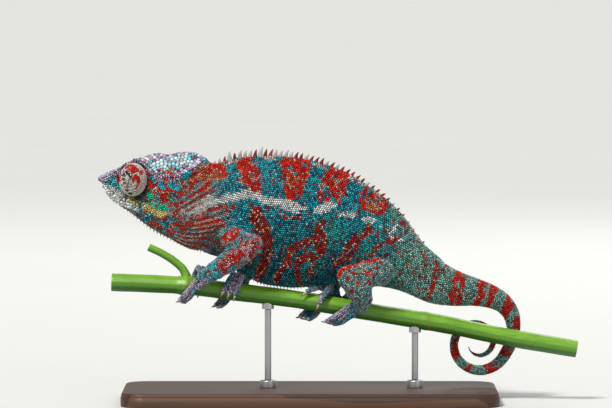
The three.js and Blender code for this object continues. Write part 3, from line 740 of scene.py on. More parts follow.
def flank_rows(side):
    """Roots in even rows along one flank, set off from row to row and square to the rows' way."""
    x = np.arange(*ROW_SPAN, SLICE)
    y, z = section(x[:, None], np.linspace(-1.5, 1.5, 160)[None])
    length = np.cumsum(np.hypot(np.diff(y, axis=1), np.diff(z, axis=1)), axis=1)
    length = np.concatenate([np.zeros((len(x), 1)), length], axis=1)
    middle = ROW_MIDDLE(x)
    start = [np.interp(at, heights, reach) for at, heights, reach in zip(middle, z, length)]
    slope = np.gradient(middle, x)
    travel = np.cumsum(np.hypot(1, slope)) * SLICE
    found = []
    for column, at in enumerate(np.interp(np.arange(travel[0], travel[-1], ROW_STEP / 2), travel, x)):
        lean = np.interp(at, x, slope)
        for row in range(column % 2 - ROW_COUNT, ROW_COUNT, 2):
            there = at - lean / math.hypot(1, lean) * row * ROW_PITCH
            k = int(round((there - x[0]) / SLICE))
            if not 0 <= k < len(x):
                continue
            reach = start[k] + row * ROW_PITCH * math.hypot(1, lean)
            if 0.5 < reach < length[k, -1] - 0.5:
                out, up = (np.interp(reach, length[k], outline[k]) for outline in (y, z))
                found.append([there, side * out, up])
    found = np.array(found)
    drift = np.stack([waves(found, 30, 51), 0 * found[:, 0], waves(found, 24, 52)], axis=-1)
    found = found + 0.8 * drift + np.random.default_rng(SEED + 53).normal(0, 0.05, found.shape)
    hits, faces = on_skin(found)
    near = np.linalg.norm(hits - found, axis=1) < 1.6
    return hits[near & (skin_places.zone[skin_faces[faces, 0]] == ZONE_NAMES.index("body"))]


skin_pitch = scale_pitch(skin_points, skin_places)
roots, at = scattered(1 / (0.9 * skin_pitch ** 2))
kept_rows = []
for side in (1, -1):
    kept_rows += [ridge_row(side, 0.6, 1.2), ridge_row(side, -1.2, 1.0)]
    for lift in (LIP_LIFT, -LIP_LIFT):
        lip = way([[x, side * half_width(x) * 0.85, z + lift] for x, z in MOUTH_LINE[1:]])
        kept_rows.append(even_row(lip, LIP_PITCH, LIP_LENGTH))
    for aside in CREST_ASIDE:
        x = np.linspace(*CREST_SPAN, CREST_COUNT)
        kept_rows.append(np.stack([x, 0 * x + side * aside, back(x) - 0.3 * aside], axis=-1))
kept, _ = on_skin(np.concatenate(kept_rows))
flank = np.concatenate([flank_rows(1), flank_rows(-1)])
kept = np.concatenate([kept, flank[reach_to(kept, flank) > 0.9]])
free = reach_to(kept, roots) > 0.95
all_pitch = np.concatenate([np.full(len(kept), KEPT_PITCH), skin_pitch[at[free]]])
roots = settled(np.concatenate([kept, roots[free]]), all_pitch, len(kept), 3)
for _ in range(2):
    roots = np.concatenate([roots, bare_places(roots)])
    _, face = on_skin(roots)
    roots = settled(roots, skin_pitch[skin_faces[face, 0]], len(kept), 1)
_, root_face = on_skin(roots)
root_normals = unit(skin_normals[skin_faces[root_face]].mean(1))
root_pitch = skin_pitch[skin_faces[root_face, 0]]
root_places = Places(roots, skin_places.zone[skin_faces[root_face, 0]])

# ---------------------------------------------------------------- the markings, the same on skin and scales

# Strokes are lists of X, Z and half width, seen from either side.
BACK_BLOCKS = [
    [[-35.9, 136.2, 4.6], [-33.1, 128.8, 5.6], [-30.8, 120.3, 3.4]],
    [[-39.5, 135.4, 2.2], [-34.5, 130.5, 3.8]], [[-14.6, 135.2, 3.4], [-2.9, 135.7, 3.4]],
    [[-13.1, 131.1, 3.8], [-11.4, 124.8, 3.4], [-10.6, 118, 2.9]],
    [[-4, 132.2, 3.5], [-5.7, 125.4, 2.8], [-6.3, 117.4, 1.4]],
    [[12.5, 132.2, 2.1], [9.1, 127.7, 1.8], [5.7, 119.7, 1.7], [5.1, 116.3, 0.9]],
    [[14.8, 130, 2.3], [22.2, 130.5, 2]], [[20.5, 128.8, 2.3], [18.8, 123.1, 2], [17.7, 119.7, 1.4]],
    [[12, 125.4, 2.3], [13.1, 119.7, 2.3], [10.3, 115.1, 1.4], [8.6, 113.4, 0.7]],
    [[14.3, 118.6, 1.7], [16, 115.1, 0.9]], [[32.5, 122, 1.4], [30.2, 117.4, 1.5], [30.8, 110.6, 1.3]],
    [[35.9, 119.7, 1.1], [35.3, 115.7, 1.1]], [[38.8, 114, 1.1], [42.2, 115.1, 0.9]],
    [[43.3, 112.9, 1.1], [41.6, 108.9, 1.2], [38.8, 107.7, 1.2], [33.6, 110, 1.1]],
]
BLOCK_CORES = [
    [[-33, 130, 1.2], [-32.6, 126.6, 1.2]], [[-12.8, 132.4, 1.3]], [[-11.2, 127, 0.9], [-10.4, 124, 1.5]],
    [[-8, 129, 0.9], [-7, 126, 0.7]], [[8.4, 126.4, 0.9], [7.6, 123, 1.1]], [[19.4, 127, 0.9]],
    [[-53.6, 131.4, 1.7]],
]
FLANK_BARS = [
    [[-30.8, 110.6, 2.8], [-29.1, 104.9, 4.5], [-27.4, 98, 5], [-24.5, 90.6, 3.7], [-23.9, 83.2, 2.9],
     [-27.4, 75.2, 2.9], [-30.2, 69.5, 2.3]], [[-16.5, 107.4, 1.1], [-11.4, 105.5, 1.2], [-6.8, 106, 0.9]],
    [[-10.8, 105.5, 1.1], [-9.7, 101.5, 0.9]],
    [[8.6, 104.3, 1.2], [5.7, 99.2, 3.1], [4.6, 92.3, 4], [6.3, 86.6, 2]], [[1.1, 94.6, 1.8],
     [-5.1, 90.1, 2], [-10.8, 86.1, 1.7], [-13.7, 79.8, 2], [-16.5, 74.1, 1.5], [-19.4, 69.5, 1.2]],
    [[-3.4, 83.2, 2.8], [4.6, 83.2, 1.7]], [[-5.7, 82.1, 2.2], [-7.4, 76.4, 1.5], [-5.7, 68.4, 1.2]],
    [[1.1, 79.8, 1.7], [1.1, 74.1, 1.2]], [[33.6, 99.2, 1.7], [29.6, 96.3, 2.2], [25.1, 92.9, 2],
     [22.2, 88.9, 1.7], [18.8, 83.8, 1.7], [15.4, 79.8, 1.4], [13.7, 76.4, 1.1]],
    [[28.5, 92.3, 1.1], [23.9, 85.5, 1.1], [21.1, 79.8, 0.9]], [[52.4, 102.6, 1], [53.6, 100.9, 0.8]],
    [[54.2, 96.9, 1]],
    [[51.3, 94.1, 0.9], [46.7, 93.5, 1.2], [41.6, 91.8, 1.4], [37.6, 88.4, 1.2], [33.6, 84.4, 1]],
]
SHOULDER_MARKS = [
    [[-55.3, 133.4, 3.2], [-50.2, 131.1, 3.4]], [[-58.1, 123.1, 2], [-62.7, 120.8, 1.6]],
    [[-54.2, 110.6, 0.9], [-47.3, 111.2, 1], [-46.7, 108.9, 0.7]], [[-42.8, 111.7, 1.1]],
    [[-64.4, 105.5, 1.6], [-58.1, 104.3, 1.7], [-49, 102, 1.5]],
]
TAIL_MARKS = [
    [[72, 79, 1.1], [70.7, 72.2, 1.6], [70, 67.8, 1], [68.4, 60.4, 1.2]],
    [[84.6, 73.8, 1.7], [82, 68.2, 1.8], [81.6, 61.8, 2], [80.6, 56.2, 1.6]],
    [[87, 70.2, 1.5], [86, 65, 1.2], [85.4, 60.8, 1.6], [84, 57.4, 1.3]], [[82, 60, 1.1], [85, 60, 1.1]],
    [[82.4, 70, 1.2], [86.6, 70, 1.2]],
    [[101, 68.6, 1.5], [97.2, 66.4, 2], [96.4, 61.4, 2], [94.4, 56, 1.6]],
    [[104.8, 66.4, 2], [103.8, 60.4, 2], [101, 55, 1.6]], [[97, 60.4, 1.3], [103, 60.8, 1.3]],
    [[98, 68, 1.2], [104, 67.6, 1.2]], [[114, 58.4, 2.8], [112.4, 53, 3.1], [110.4, 49, 1.5]],
    [[118, 47.4, 1.5], [118.2, 42.4, 2.2]], [[83.8, 33.6, 2], [84.9, 25.7, 1.8]],
]
PALE_STRIPE = [
    [[-68.4, 108.3, 1.5], [-59.9, 113.4, 2], [-48.5, 116.3, 2.3], [-35.9, 119.1, 2.8], [-30.8, 118, 2.8],
     [-23.9, 115.1, 2], [-14.3, 113.4, 3.1], [-8, 111.7, 3.3], [-3.4, 111.2, 1.7]],
    [[4, 110, 2.5], [9.1, 111.2, 3.1], [12.5, 113.4, 2.6]], [[16, 107.7, 1.6], [23.9, 107.2, 1.7]],
    [[29.6, 104.9, 1.9], [35.3, 104.3, 2.2]], [[40.5, 100.3, 1.2]], [[46.2, 96.9, 1.7], [49, 100.9, 1]],
    [[53, 93.5, 1.2], [49.6, 91.8, 0.9]],
    [[-54.2, 118, 1], [-62.7, 114.6, 0.9], [-70.7, 110, 0.7], [-76.4, 107.2, 0.6]],
    [[-53.6, 113.4, 1.4], [-61, 110, 1], [-67.3, 106, 0.7], [-71.8, 103.2, 0.5]],
    [[-46.2, 138, 1], [-45.8, 135.8, 0.8]],
]
WARM_FIELDS = [
    [[-65, 127.7, 3.6], [-58.7, 131.1, 4.8], [-52.4, 131.7, 5.6]], [[-36, 128, 3.6]], [[14, 124, 5]],
    [[37, 113.6, 5.4]], [[-68.4, 102.6, 2], [-57, 100.3, 1.8]], [[-10, 127, 3]],
]
ARM_MARKS = [
    [[-41.6, 98.6, 2.5], [-45.6, 95.2, 2.4], [-49, 92.3, 2]],
    [[-48.5, 79.8, 3.2], [-41, 85.5, 3.8], [-34.2, 88.9, 2.8]], [[-47.5, 75.6, 1.6]], [[-32.6, 92, 1.3]],
    [[-39.8, 93.6, 1], [-37.4, 87, 1.6]],
]
THIGH_MARKS = [
    [[15.6, 73.2, 1.5], [18.4, 77, 1.5], [23, 79.2, 1.6], [28.4, 80.6, 1.5], [35.3, 82, 1.4],
     [42.2, 83.6, 1]], [[25.2, 74.6, 1.3]], [[21.4, 71.6, 1.4]], [[27.1, 69.4, 1.2]], [[33, 69.8, 1.3]],
    [[31.4, 75, 0.9], [35, 74.4, 0.9]], [[38, 77.4, 1]], [[23.9, 65, 1.3]], [[28.4, 62, 1.3]],
    [[25.4, 60, 0.9]], [[28, 57.6, 1.1]], [[34.2, 58.8, 1]], [[31, 53.4, 1]], [[37.4, 70.6, 0.9]],
]
# On the head, which is the same on both sides.
HEAD_MARKS = {
    "lilac": [
        [[-121, 126.5, 1.8], [-115.1, 128.8, 2.4], [-108, 132.8, 2], [-101.5, 136.4, 1.8],
         [-95.2, 138, 1.6]], [[-95.2, 137.4, 1.6], [-90.1, 139, 1.7], [-82.7, 139.4, 1.7],
         [-74.1, 142.5, 1.6], [-65.5, 142.5, 1.8], [-59.9, 139.7, 2]], [[-91.2, 132.2, 1.4],
         [-87.2, 129.4, 2.2], [-82.7, 127.7, 2.2], [-77, 128.2, 2.2], [-71.8, 131.7, 2], [-67.3, 134.5, 1.6],
         [-62.7, 137.9, 1.6]],
    ],
    "white": [
        [[-91.2, 134, 1.3], [-86.6, 134.5, 2.2], [-80.9, 135.7, 3.4], [-75.2, 137.4, 3.4],
         [-70.7, 137.9, 2.6]],
    ],
    "pale": [
        [[-117.3, 122.4, 2.6], [-112.3, 119.7, 3.2], [-107.7, 116.9, 2.4]],
        [[-115.7, 117.4, 1], [-109.4, 115.1, 1.3], [-104.3, 112.3, 1.6], [-98.6, 110.6, 1.5]],
    ],
    "yellow": [
        [[-102.6, 116.3, 1.3], [-98, 114, 1.4]],
        [[-94.6, 112.9, 1.3], [-90.1, 110, 1.7], [-85.5, 107.7, 1.9], [-80.9, 108.3, 1.4]],
    ],
    "emerald": [[[-91.8, 119.7, 1.5], [-90.1, 115.1, 2.1], [-86.6, 112.3, 1.8], [-82.1, 111.2, 1.6]]],
    "red": [
        [[-91.2, 123.7, 1.7], [-87.2, 124.3, 2.2], [-83.8, 120.8, 2.2], [-82.7, 115.7, 1.8]],
        [[-92.3, 117.4, 1.2], [-91.2, 113.4, 0.8]],
        [[-81.5, 125.4, 0.8], [-80.9, 122, 0.8], [-73, 119.7, 1]],
        [[-94, 134.4, 1.3], [-92.6, 132, 1.5], [-91.6, 130, 1.2]], [[-110, 130, 1.1], [-108.3, 126.5, 0.8]],
        [[-109.4, 126, 0.9]], [[-96.3, 127.7, 1], [-91, 122, 1.2]], [[-74, 124.5, 0.8], [-70, 122.5, 1.2]],
        [[-108, 119.7, 0.7], [-104, 117.5, 0.7]], [[-84, 127.6, 0.8], [-80, 126.6, 0.9], [-76, 127.4, 0.8]],
    ],
    "cyan": [
        [[-88.4, 126.5, 1.3]], [[-84.9, 124.3, 1.4], [-83.2, 122.6, 1]],
        [[-79.2, 124.3, 1.6], [-76.4, 122.6, 1.4]], [[-74.1, 123.7, 1.2]], [[-108.3, 122.6, 1.1]],
        [[-71, 129, 1.7], [-68, 131, 1.2]], [[-59.3, 136.8, 1.7], [-58.1, 139, 1.2]], [[-111, 125, 0.8]],
    ],
    "cream": [
        [[-86.4, 118, 1.1]], [[-83.5, 120.3, 0.7]], [[-89.1, 114.6, 0.7]], [[-87.2, 122.5, 0.9]],
        [[-93.5, 120.5, 0.7]],
    ],
}
# Small spots of each part: count, least and most X and Z, least and most size.
FLANK_SPOTS = 130, (-48, 62, 66, 138), (0.55, 1.3)
REAR_SPOTS = 70, (45, 84, 55, 100), (0.5, 1.3)
LIMB_SPOTS = 90, (-62, 45, 55, 96), (0.4, 1)
TAIL_BAND = 13.5  # pitch of the tail's bands
CHIN_LINE = [[-122, 124], [-90, 104], [-60, 92]]


def spots(x, z, side, count, box, sizes, seed):
    """Small scattered spots, set out apart for each side."""
    dice = np.random.default_rng(SEED + seed)
    best = np.full(len(x), -1e3)
    for _ in range(count):
        at_x, at_z = dice.uniform(box[0], box[1]), dice.uniform(box[2], box[3])
        size, lean, hand = dice.uniform(*sizes), dice.uniform(-0.5, 0.5), dice.choice([-1, 1])
        off = np.hypot((x - at_x) - lean * (z - at_z), (z - at_z) * 0.8)
        best = np.maximum(best, np.where(side == hand, size - off, -1e3))
    return step(-0.3, 0.3, best)


def markings(points, places):
    """How much of each colour stands at each point, from 0 to 1."""
    x, y, z = points.T
    side = np.where(y < 0, -1, 1)
    trunk, tail, feet = places.where("body"), places.where("tail"), places.where("hand", "foot")
    arm, thigh = places.where("leg_hand"), places.where("leg_foot")
    limb = arm + 0.4 * thigh
    rear = trunk * step(-58, -52, x) + tail
    head = trunk * step(-56, -64, x)
    made = {}

    def noise(size, seed):
        return waves(points, size, seed)

    def lay(name, cover):
        made[name] = np.maximum(made[name], cover)

    fine, coarse = noise(1.5, 11), noise(4.5, 12)
    ragged = 0.55 * fine + 0.75 * coarse
    sharp = 0.25 * fine + 0.3 * noise(3, 13)
    # the marks of the right side lie a little differently
    slip = np.where(side > 0, 1.0, 0.0)
    x_here, z_here = x + slip * 2.2 * noise(26, 14), z + slip * 1.6 * noise(21, 15)

    def on_head(name, edge=sharp, soft=0.35):
        return head * strokes(x, z, HEAD_MARKS[name], edge, soft)

    blocks = strokes(x_here, z_here, BACK_BLOCKS, ragged * 0.8) * rear
    bars = strokes(x_here, z_here, FLANK_BARS, ragged) * rear
    shoulder = strokes(x_here, z_here, SHOULDER_MARKS, ragged * 0.8) * trunk
    tail_red = strokes(x, z, TAIL_MARKS, ragged * 0.8) * rear
    # the rest of the tail is banded, out to its tip
    beat = np.sin(places.along / TAIL_BAND * 2 * math.pi + 0.9 * coarse)
    tail_red = np.maximum(tail_red, tail * step(0.35, 0.55, beat) * step(0.47, 0.5, places.share))
    elbow = arm * bump_at(places.share, 0.47, 0.15)
    arm_red = strokes(x, z, ARM_MARKS, ragged) * arm
    arm_red = np.maximum(arm_red, elbow * step(-0.25, -0.1, noise(1.9, 30)))
    thigh_red = strokes(x, z, THIGH_MARKS, sharp) * thigh
    flank_spots = spots(x, z, side, *FLANK_SPOTS, 21) * rear
    rear_spots = spots(x, z, side, *REAR_SPOTS, 22)
    limb_spots = spots(x, z, side, *LIMB_SPOTS, 23) * (arm + thigh)
    made["red"] = np.clip(blocks + shoulder + tail_red + arm_red + thigh_red, 0, 1)
    made["blood"] = np.clip(bars + 0.9 * flank_spots + 0.8 * rear_spots * (tail + trunk) + limb_spots, 0, 1)
    made["red"] *= 1 - 0.85 * step(0.55, 1.0, noise(2.6, 16)) * step(0.1, 0.5, coarse)
    made["blood"] *= 1 - 0.6 * step(0.6, 1.1, noise(1.9, 17))
    core = strokes(x_here, z_here, BLOCK_CORES, 0.7 * fine) * trunk
    made["red"] *= 1 - 0.85 * core
    made["warm"] = strokes(x_here, z_here, WARM_FIELDS, ragged, 1.2) * trunk
    made["pale"] = strokes(x_here, z_here, PALE_STRIPE, 0.55 * fine + 0.5 * coarse - 0.2) * trunk
    lay("pale", 0.5 * elbow * step(0.35, 0.6, -noise(1.9, 30)))
    top_band = step(3.8, 1.6, back(x) - z) * rear * trunk * step(-0.5, 0.1, noise(5, 38))
    tail_top = tail * bump_at(places.turn, -math.pi / 2, 0.5) * step(0.6, 0.4, places.share)
    made["top"] = np.maximum(top_band, 0.7 * tail_top * step(66, 84, x) * step(-0.6, 0.3, fine))
    # deep is the flank's deeper blue, and painted shade that darkens the body towards the belly
    made["deep"] = np.clip(
        step(106, 76, z) * rear * (1 - tail) + bump_at(x, -8, 20) * bump_at(z, 98, 14) * 0.6
        + step(0.2, 1.2, noise(12, 18)) * 0.3, 0, 1) * (1 - feet)
    made["green"] = np.clip(step(15, 62, x) * 0.8 * (1 - feet) + 0.4 * noise(9, 19), 0, 1)
    made["grey"] = np.clip(thigh * 0.7 + arm * 0.35 + step(36, 66, x) * rear * 0.85, 0, 1)
    made["warm"] *= 1 - 0.7 * step(0.2, -0.4, noise(2.2, 42)) * step(0, 20, x)
    lay("warm", 0.35 * thigh * step(0.3, 0.9, noise(3.2, 33)))
    lay("warm", core * step(0.3, -0.3, noise(1.8, 40)))

    # the neck's folds carry their own colours
    beat, room = fold_beat(points)
    room = room * trunk
    lay("pale", 0.6 * room * step(0.35, 0.75, beat) * step(-0.3, 0.4, noise(6, 24)))
    furrow = 0.3 + 0.65 * step(0.55, 0.1, beat) * step(-0.9, -0.1, noise(5, 25))
    made["neck"] = room * (1 - 0.7 * made["warm"]) * furrow
    lay("red", room * step(-0.2, -0.7, beat) * step(0, 0.5, noise(4, 34)))

    made["lilac"] = np.clip(
        feet * (0.6 + 0.6 * coarse) + on_head("lilac") + limb * step(0.3, 0.9, noise(3, 26)) * 0.5, 0, 1)
    made["cyan"] = 0.7 * (limb * bump_at(places.share, 0.84, 0.1)) * step(0, 0.6, noise(2, 35))
    made["white"] = on_head("white", soft=0.6)
    lay("pale", on_head("pale", soft=0.6))
    made["yellow"] = on_head("yellow", soft=0.6)
    made["emerald"] = on_head("emerald") * (1 - 0.8 * step(0.3, 0.6, noise(1.6, 39)))
    lay("cyan", on_head("cyan"))
    lay("red", on_head("red"))
    low_ridge = step(134, 131, z) * step(-94, -90, x)
    mottle = step(0.35, 0.75, noise(1.7, 36) + 0.25 * low_ridge)
    made["lilac"] *= 1 - 0.85 * mottle * head
    lay("blood", 0.75 * mottle * head * step(-112, -106, x))
    lay("red", 0.9 * mottle * head * low_ridge)
    lay("white", on_head("cream", 0 * x) * 0.9)
    made["red"] *= 1 - made["cyan"]
    made["white"] *= 1 - 0.6 * step(0.2, 0.8, noise(2.2, 41)) * step(-92, -88, x)
    lay("neck", head * step(1, -3, z - line(CHIN_LINE)(x)) * step(-0.1, 0.7, noise(2.2, 27)))
    lay("grey", 0.8 * head * step(-0.3, 0.6, noise(3, 28)))
    # the socket round the turret is blood red above, and dark with painted shade below and behind
    socket = head * step(10.4, 9.5, eye_reach(points)[0])
    under = step(-103, -98, x) * step(126, 121, z)
    lay("blood", socket * (1 - under) * step(-100, -95, x))
    # painted shade darkens the grooves between the toes and the socket below the turret
    made["dark_lines_and_painted_shade"] = np.maximum(0.6 * toe_groove(points, places.zone), 0.85 * socket * under)
    return made


# ---------------------------------------------------------------- finishes


class Wire:
    """A shader socket that can stand in a sum."""

    def __init__(self, finish, socket):
        self.finish = finish
        self.socket = socket

    def _sum(self, operation, first, second):
        return self.finish.node("ShaderNodeMath", {"operation": operation}, {0: first, 1: second})

    def __add__(self, other):
        return self._sum("ADD", self, other)

    def __radd__(self, other):
        return self._sum("ADD", other, self)

    def __sub__(self, other):
        return self._sum("SUBTRACT", self, other)

    def __rsub__(self, other):
        return self._sum("SUBTRACT", other, self)

    def __mul__(self, other):
        return self._sum("MULTIPLY", self, other)

    def __rmul__(self, other):
        return self._sum("MULTIPLY", other, self)

    def __pow__(self, other):
        return self._sum("POWER", self, other)

    def clamped(self):
        return self.finish.node("ShaderNodeClamp", {}, {0: self})


class Finish:
    """A material in the making. node() adds any node: its settings first, then its sockets."""

    def __init__(self, name, **sockets):
        self.material = bpy.data.materials.new(name)
        self.material.use_nodes = True
        self.tree = self.material.node_tree
        self.shader = self.tree.nodes["Principled BSDF"]
        self.set(**sockets)

    def node(self, kind, settings, sockets, output=0):
        made = self.tree.nodes.new(kind)
        for key, value in settings.items():
            setattr(made, key, value)
        for key, value in sockets.items():
            self._feed(made.inputs[key], value)
        return Wire(self, made.outputs[output])

    def _feed(self, socket, value):
        if isinstance(value, Wire):
            self.tree.links.new(value.socket, socket)
        else:
            socket.default_value = value

    def set(self, **sockets):
        """Sockets of the shader itself, named with _ for each space."""
        for key, value in sockets.items():
            self._feed(self.shader.inputs[key.replace("_", " ")], value)

    def mark(self, name):
        return self.node("ShaderNodeAttribute", {"attribute_name": name}, {}, "Fac")

    def mix(self, share, first, second, blend="MIX"):
        settings = {"data_type": "RGBA", "blend_type": blend}
        return self.node("ShaderNodeMix", settings, {0: share, 6: first, 7: second}, 2)

    def place(self):
        return self.node("ShaderNodeTexCoord", {}, {}, "Object")

    def stretched(self, scale, lean=0):
        """The place scaled along each axis, and turned about Y."""
        sockets = {"Vector": self.place(), "Scale": scale, "Rotation": (0, lean, 0)}
        return self.node("ShaderNodeMapping", {}, sockets)

    def noise(self, scale, detail=4.0, rough=0.55, place=None):
        sockets = {"Vector": place or self.place(), "Scale": scale, "Detail": detail, "Roughness": rough}
        return self.node("ShaderNodeTexNoise", {}, sockets)

    def bump(self, height, strength, distance):
        sockets = {"Strength": strength, "Distance": distance, "Height": height}
        self.set(Normal=self.node("ShaderNodeBump", {}, sockets))


def hue(code):
    """A colour written as six hex digits."""
    parts = [int(code[i:i + 2], 16) / 255 for i in (0, 2, 4)]
    return (*[p / 12.92 if p < 0.04045 else ((p + 0.055) / 1.055) ** 2.4 for p in parts], 1.0)


# Each mark's strength and its darkest and lightest scale, in the order in which they lie over one another.
MARK_COLOURS = {
    "deep": (0.85, "021c2a", "055466"), "green": (0.7, "0a5c4a", "2cac90"),
    "grey": (0.75, "566e60", "b2cab8"), "top": (0.9, "7a3a3c", "e4cec4"),
    "warm": (0.95, "862c02", "fa8210"), "neck": (1, "2c0e06", "b8481a"),
    "blood": (1, "460302", "ba1c0c"), "red": (1, "8e0400", "f02806"), "pale": (1, "b4a8a8", "fffaf4"),
    "lilac": (1, "705a7c", "f0d2e8"), "yellow": (1, "b8963a", "fff0a0"),
    "emerald": (1, "046e40", "18dca0"), "cyan": (1, "057a96", "30e0ea"), "white": (1, "78889a", "e4eeee"),
    "turret": (1, "caa28e", "fff6ec"),
}
MARK_NAMES = [*MARK_COLOURS, "dark_lines_and_painted_shade", "rise", "own"]


def scaly_finish(name):
    """The coloured skin: each mark lays its colour over the last, and each scale differs a little."""
    made = Finish(name, Specular_IOR_Level=0.2)
    own = made.mark("own")
    rise = made.mark("rise")
    colour = made.mix(own, hue("014a5c"), hue("02a8bc"))
    for mark, (strength, low, high) in MARK_COLOURS.items():
        cover = made.mark(mark)
        if strength < 1:
            cover = cover * strength
        colour = made.mix(cover, colour, made.mix(own, hue(low), hue(high)))
    # the turret's dark lines, and the painted shade of the toe grooves and the turret's socket
    colour = made.mix(made.mark("dark_lines_and_painted_shade"), colour, hue("1c1a1e"))
    speck = made.noise(900.0, 3.0)
    mottle = made.mix(speck, (0.5, 0.5, 0.53, 1), (1.4, 1.4, 1.35, 1))
    colour = made.mix(0.5, colour, mottle, "MULTIPLY")
    # painted shade: scales darken towards their foot, the bare skin most, more so where deep
    shadow = made.mix(made.mark("deep"), hue("3c4c52"), hue("1a2226"))
    dark = made.mix(1.0, colour, shadow, "MULTIPLY")
    # painted highlight: the top of each plain scale is lightened towards cyan
    light = made.mix(0.5, colour, hue("5ce6f2"))
    shade = made.mix(rise ** 1.1, dark, colour)
    plain = (1 - made.mark("red")) * (1 - made.mark("blood")) * (1 - made.mark("dark_lines_and_painted_shade"))
    tip = ((rise - 0.66) * 3.0).clamped() * (own ** 2) * plain
    made.set(Base_Color=made.mix(tip * 0.9, shade, light))
    made.set(Roughness=0.34 + 0.22 * speck)
    made.bump(made.noise(2600.0, 2.0), 0.25, 0.00012)
    return made


# ---------------------------------------------------------------- the scales

CELL_SIDES = 8
CELL_TURN = np.arange(CELL_SIDES) * 2 * math.pi / CELL_SIDES
PATCH = 0.0015  # half the width of a scale's place on the bake map
GAP = 0.004  # round each zone's strip of the bake map
SHARES = 6  # the coat is this many pieces
CELL_FILL, SCALE_HEIGHT = 0.94, 1.2
SKIN_TONE = 0.3  # the colour between the scales, from the darkest scale to the lightest
# Rings of a scale: share of the reach, the same on a broad plate, then shares of the height.
DOME_RINGS = [[1.0, 1.0, -0.35, -0.35], [0.76, 0.89, 0.64, 0.9]]
DOME_POINTS = CELL_SIDES * len(DOME_RINGS) + 1


def frames_at(normals, lies):
    """The two directions along the surface at each root."""
    ahead = unit(across(lies, normals))
    return ahead, np.cross(normals, ahead)


def cell_radii(points, normals, lies, pitch):
    """How far each scale reaches in each direction before it meets its neighbours."""
    near = neighbours_of(points, 10)
    ahead, aside = frames_at(normals, lies)
    off = points[near] - points[:, None]
    far = np.linalg.norm(off, axis=-1)
    same_side = (normals[near] * normals[:, None]).sum(-1) > 0.1
    bearing = np.arctan2((off * aside[:, None]).sum(-1), (off * ahead[:, None]).sum(-1))
    facing = np.cos(bearing[..., None] - CELL_TURN)
    reach = np.where((facing > 0.2) & same_side[..., None], far[..., None] / 2 / np.maximum(facing, 0.2), 9)
    return np.minimum(reach.min(1), pitch[:, None] * 0.66)


def bake_place(places):
    """The root's place on an unwrap of the skin: each zone laid flat in its own strip."""
    x, y, z = places.points.T
    u, v = places.share.copy(), (places.turn / (2 * math.pi) + 0.5) % 1
    up = np.clip((z - belly(x)) / (back(x) - belly(x)), 0, 1)
    body = places.where("body") > 0
    v[body] = np.where(y < 0, 0.5 * up, 1 - 0.5 * up)[body]
    strips = {"body": (0, 1, 0.4, 0.99), "tail": (0, 1, 0.22, 0.39)}
    for i, name in enumerate(LEGS):
        strips["leg_" + name] = (0.25 * i, 0.25 * i + 0.24, 0.11, 0.21)
        strips[name] = (0.25 * i, 0.25 * i + 0.24, 0.01, 0.1)
    for number, zone in enumerate(ZONE_NAMES):
        low_u, high_u, low_v, high_v = strips[zone]
        here = places.zone == number
        u[here] = low_u + GAP + u[here] * (high_u - low_u - 2 * GAP)
        v[here] = low_v + GAP + v[here] * (high_v - low_v - 2 * GAP)
    return np.stack([u, v], axis=-1)


def give_marks(mesh, marks):
    none = np.zeros(len(mesh.vertices))
    give(mesh, **{name: marks.get(name, none) for name in MARK_NAMES})


def dome_corners():
    """The corners of one scale's faces, and where each face starts."""
    ring = np.arange(CELL_SIDES)
    beside = np.roll(ring, -1)
    walls = np.stack([ring, beside, CELL_SIDES + beside, CELL_SIDES + ring], axis=-1)
    roof = np.stack([CELL_SIDES + ring, CELL_SIDES + beside, 0 * ring + 2 * CELL_SIDES], axis=-1)
    starts = np.concatenate([4 * ring, 4 * CELL_SIDES + 3 * ring])
    return np.concatenate([walls.ravel(), roof.ravel()]), starts


def scale_mesh(name, points, normals, lies, radii, heights, broad, uv, marks):
    """Many scales as one mesh: each a low dome, or where broad a flat plate, with its foot in the skin."""
    count = len(points)
    ahead, aside = frames_at(normals, lies)
    ring = ahead[:, None] * np.cos(CELL_TURN)[:, None] + aside[:, None] * np.sin(CELL_TURN)[:, None]
    layers = []
    for share, broad_share, lift, broad_lift in DOME_RINGS:
        reach = radii * (share + (broad_share - share) * broad)[:, None]
        up = normals * (heights * (lift + (broad_lift - lift) * broad))[:, None]
        layers.append(points[:, None] + ring * reach[..., None] + up[:, None])
    layers.append((points + normals * heights[:, None])[:, None])
    corners, starts = dome_corners()
    all_corners = (corners[None] + DOME_POINTS * np.arange(count)[:, None]).ravel()
    all_starts = (starts[None] + len(corners) * np.arange(count)[:, None]).ravel()
    made = mesh_from(name, np.concatenate(layers, axis=1).reshape(-1, 3), all_corners, all_starts)
    spread = np.stack([np.cos(CELL_TURN), np.sin(CELL_TURN)], axis=-1) * PATCH
    patch = np.concatenate([spread * DOME_RINGS[0][0], spread * DOME_RINGS[1][0] * 0.8, [[0, 0]]])
    lay_flat(made.data, (uv[:, None] + patch[None]).reshape(-1, 2)[all_corners])
    each = {key: np.repeat(value, DOME_POINTS) for key, value in marks.items()}
    # rise, 0 at a scale's foot to 1 at its top, is what the finish paints shade and highlight by
    shoulder = np.repeat(0.7 + 0.22 * broad, CELL_SIDES).reshape(count, CELL_SIDES)
    each["rise"] = np.concatenate([0 * shoulder, shoulder, np.ones((count, 1))], axis=1).ravel()
    give_marks(made.data, each)
    return made


root_marks = markings(roots, root_places)
dice = np.random.default_rng(SEED + 1)
in_folds = fold_beat(roots)[1] * root_places.where("body")
root_marks["own"] = 0.5 + (dice.random(len(roots)) - 0.5) * (1 - 0.4 * in_folds)
chance = dice.random(len(roots))
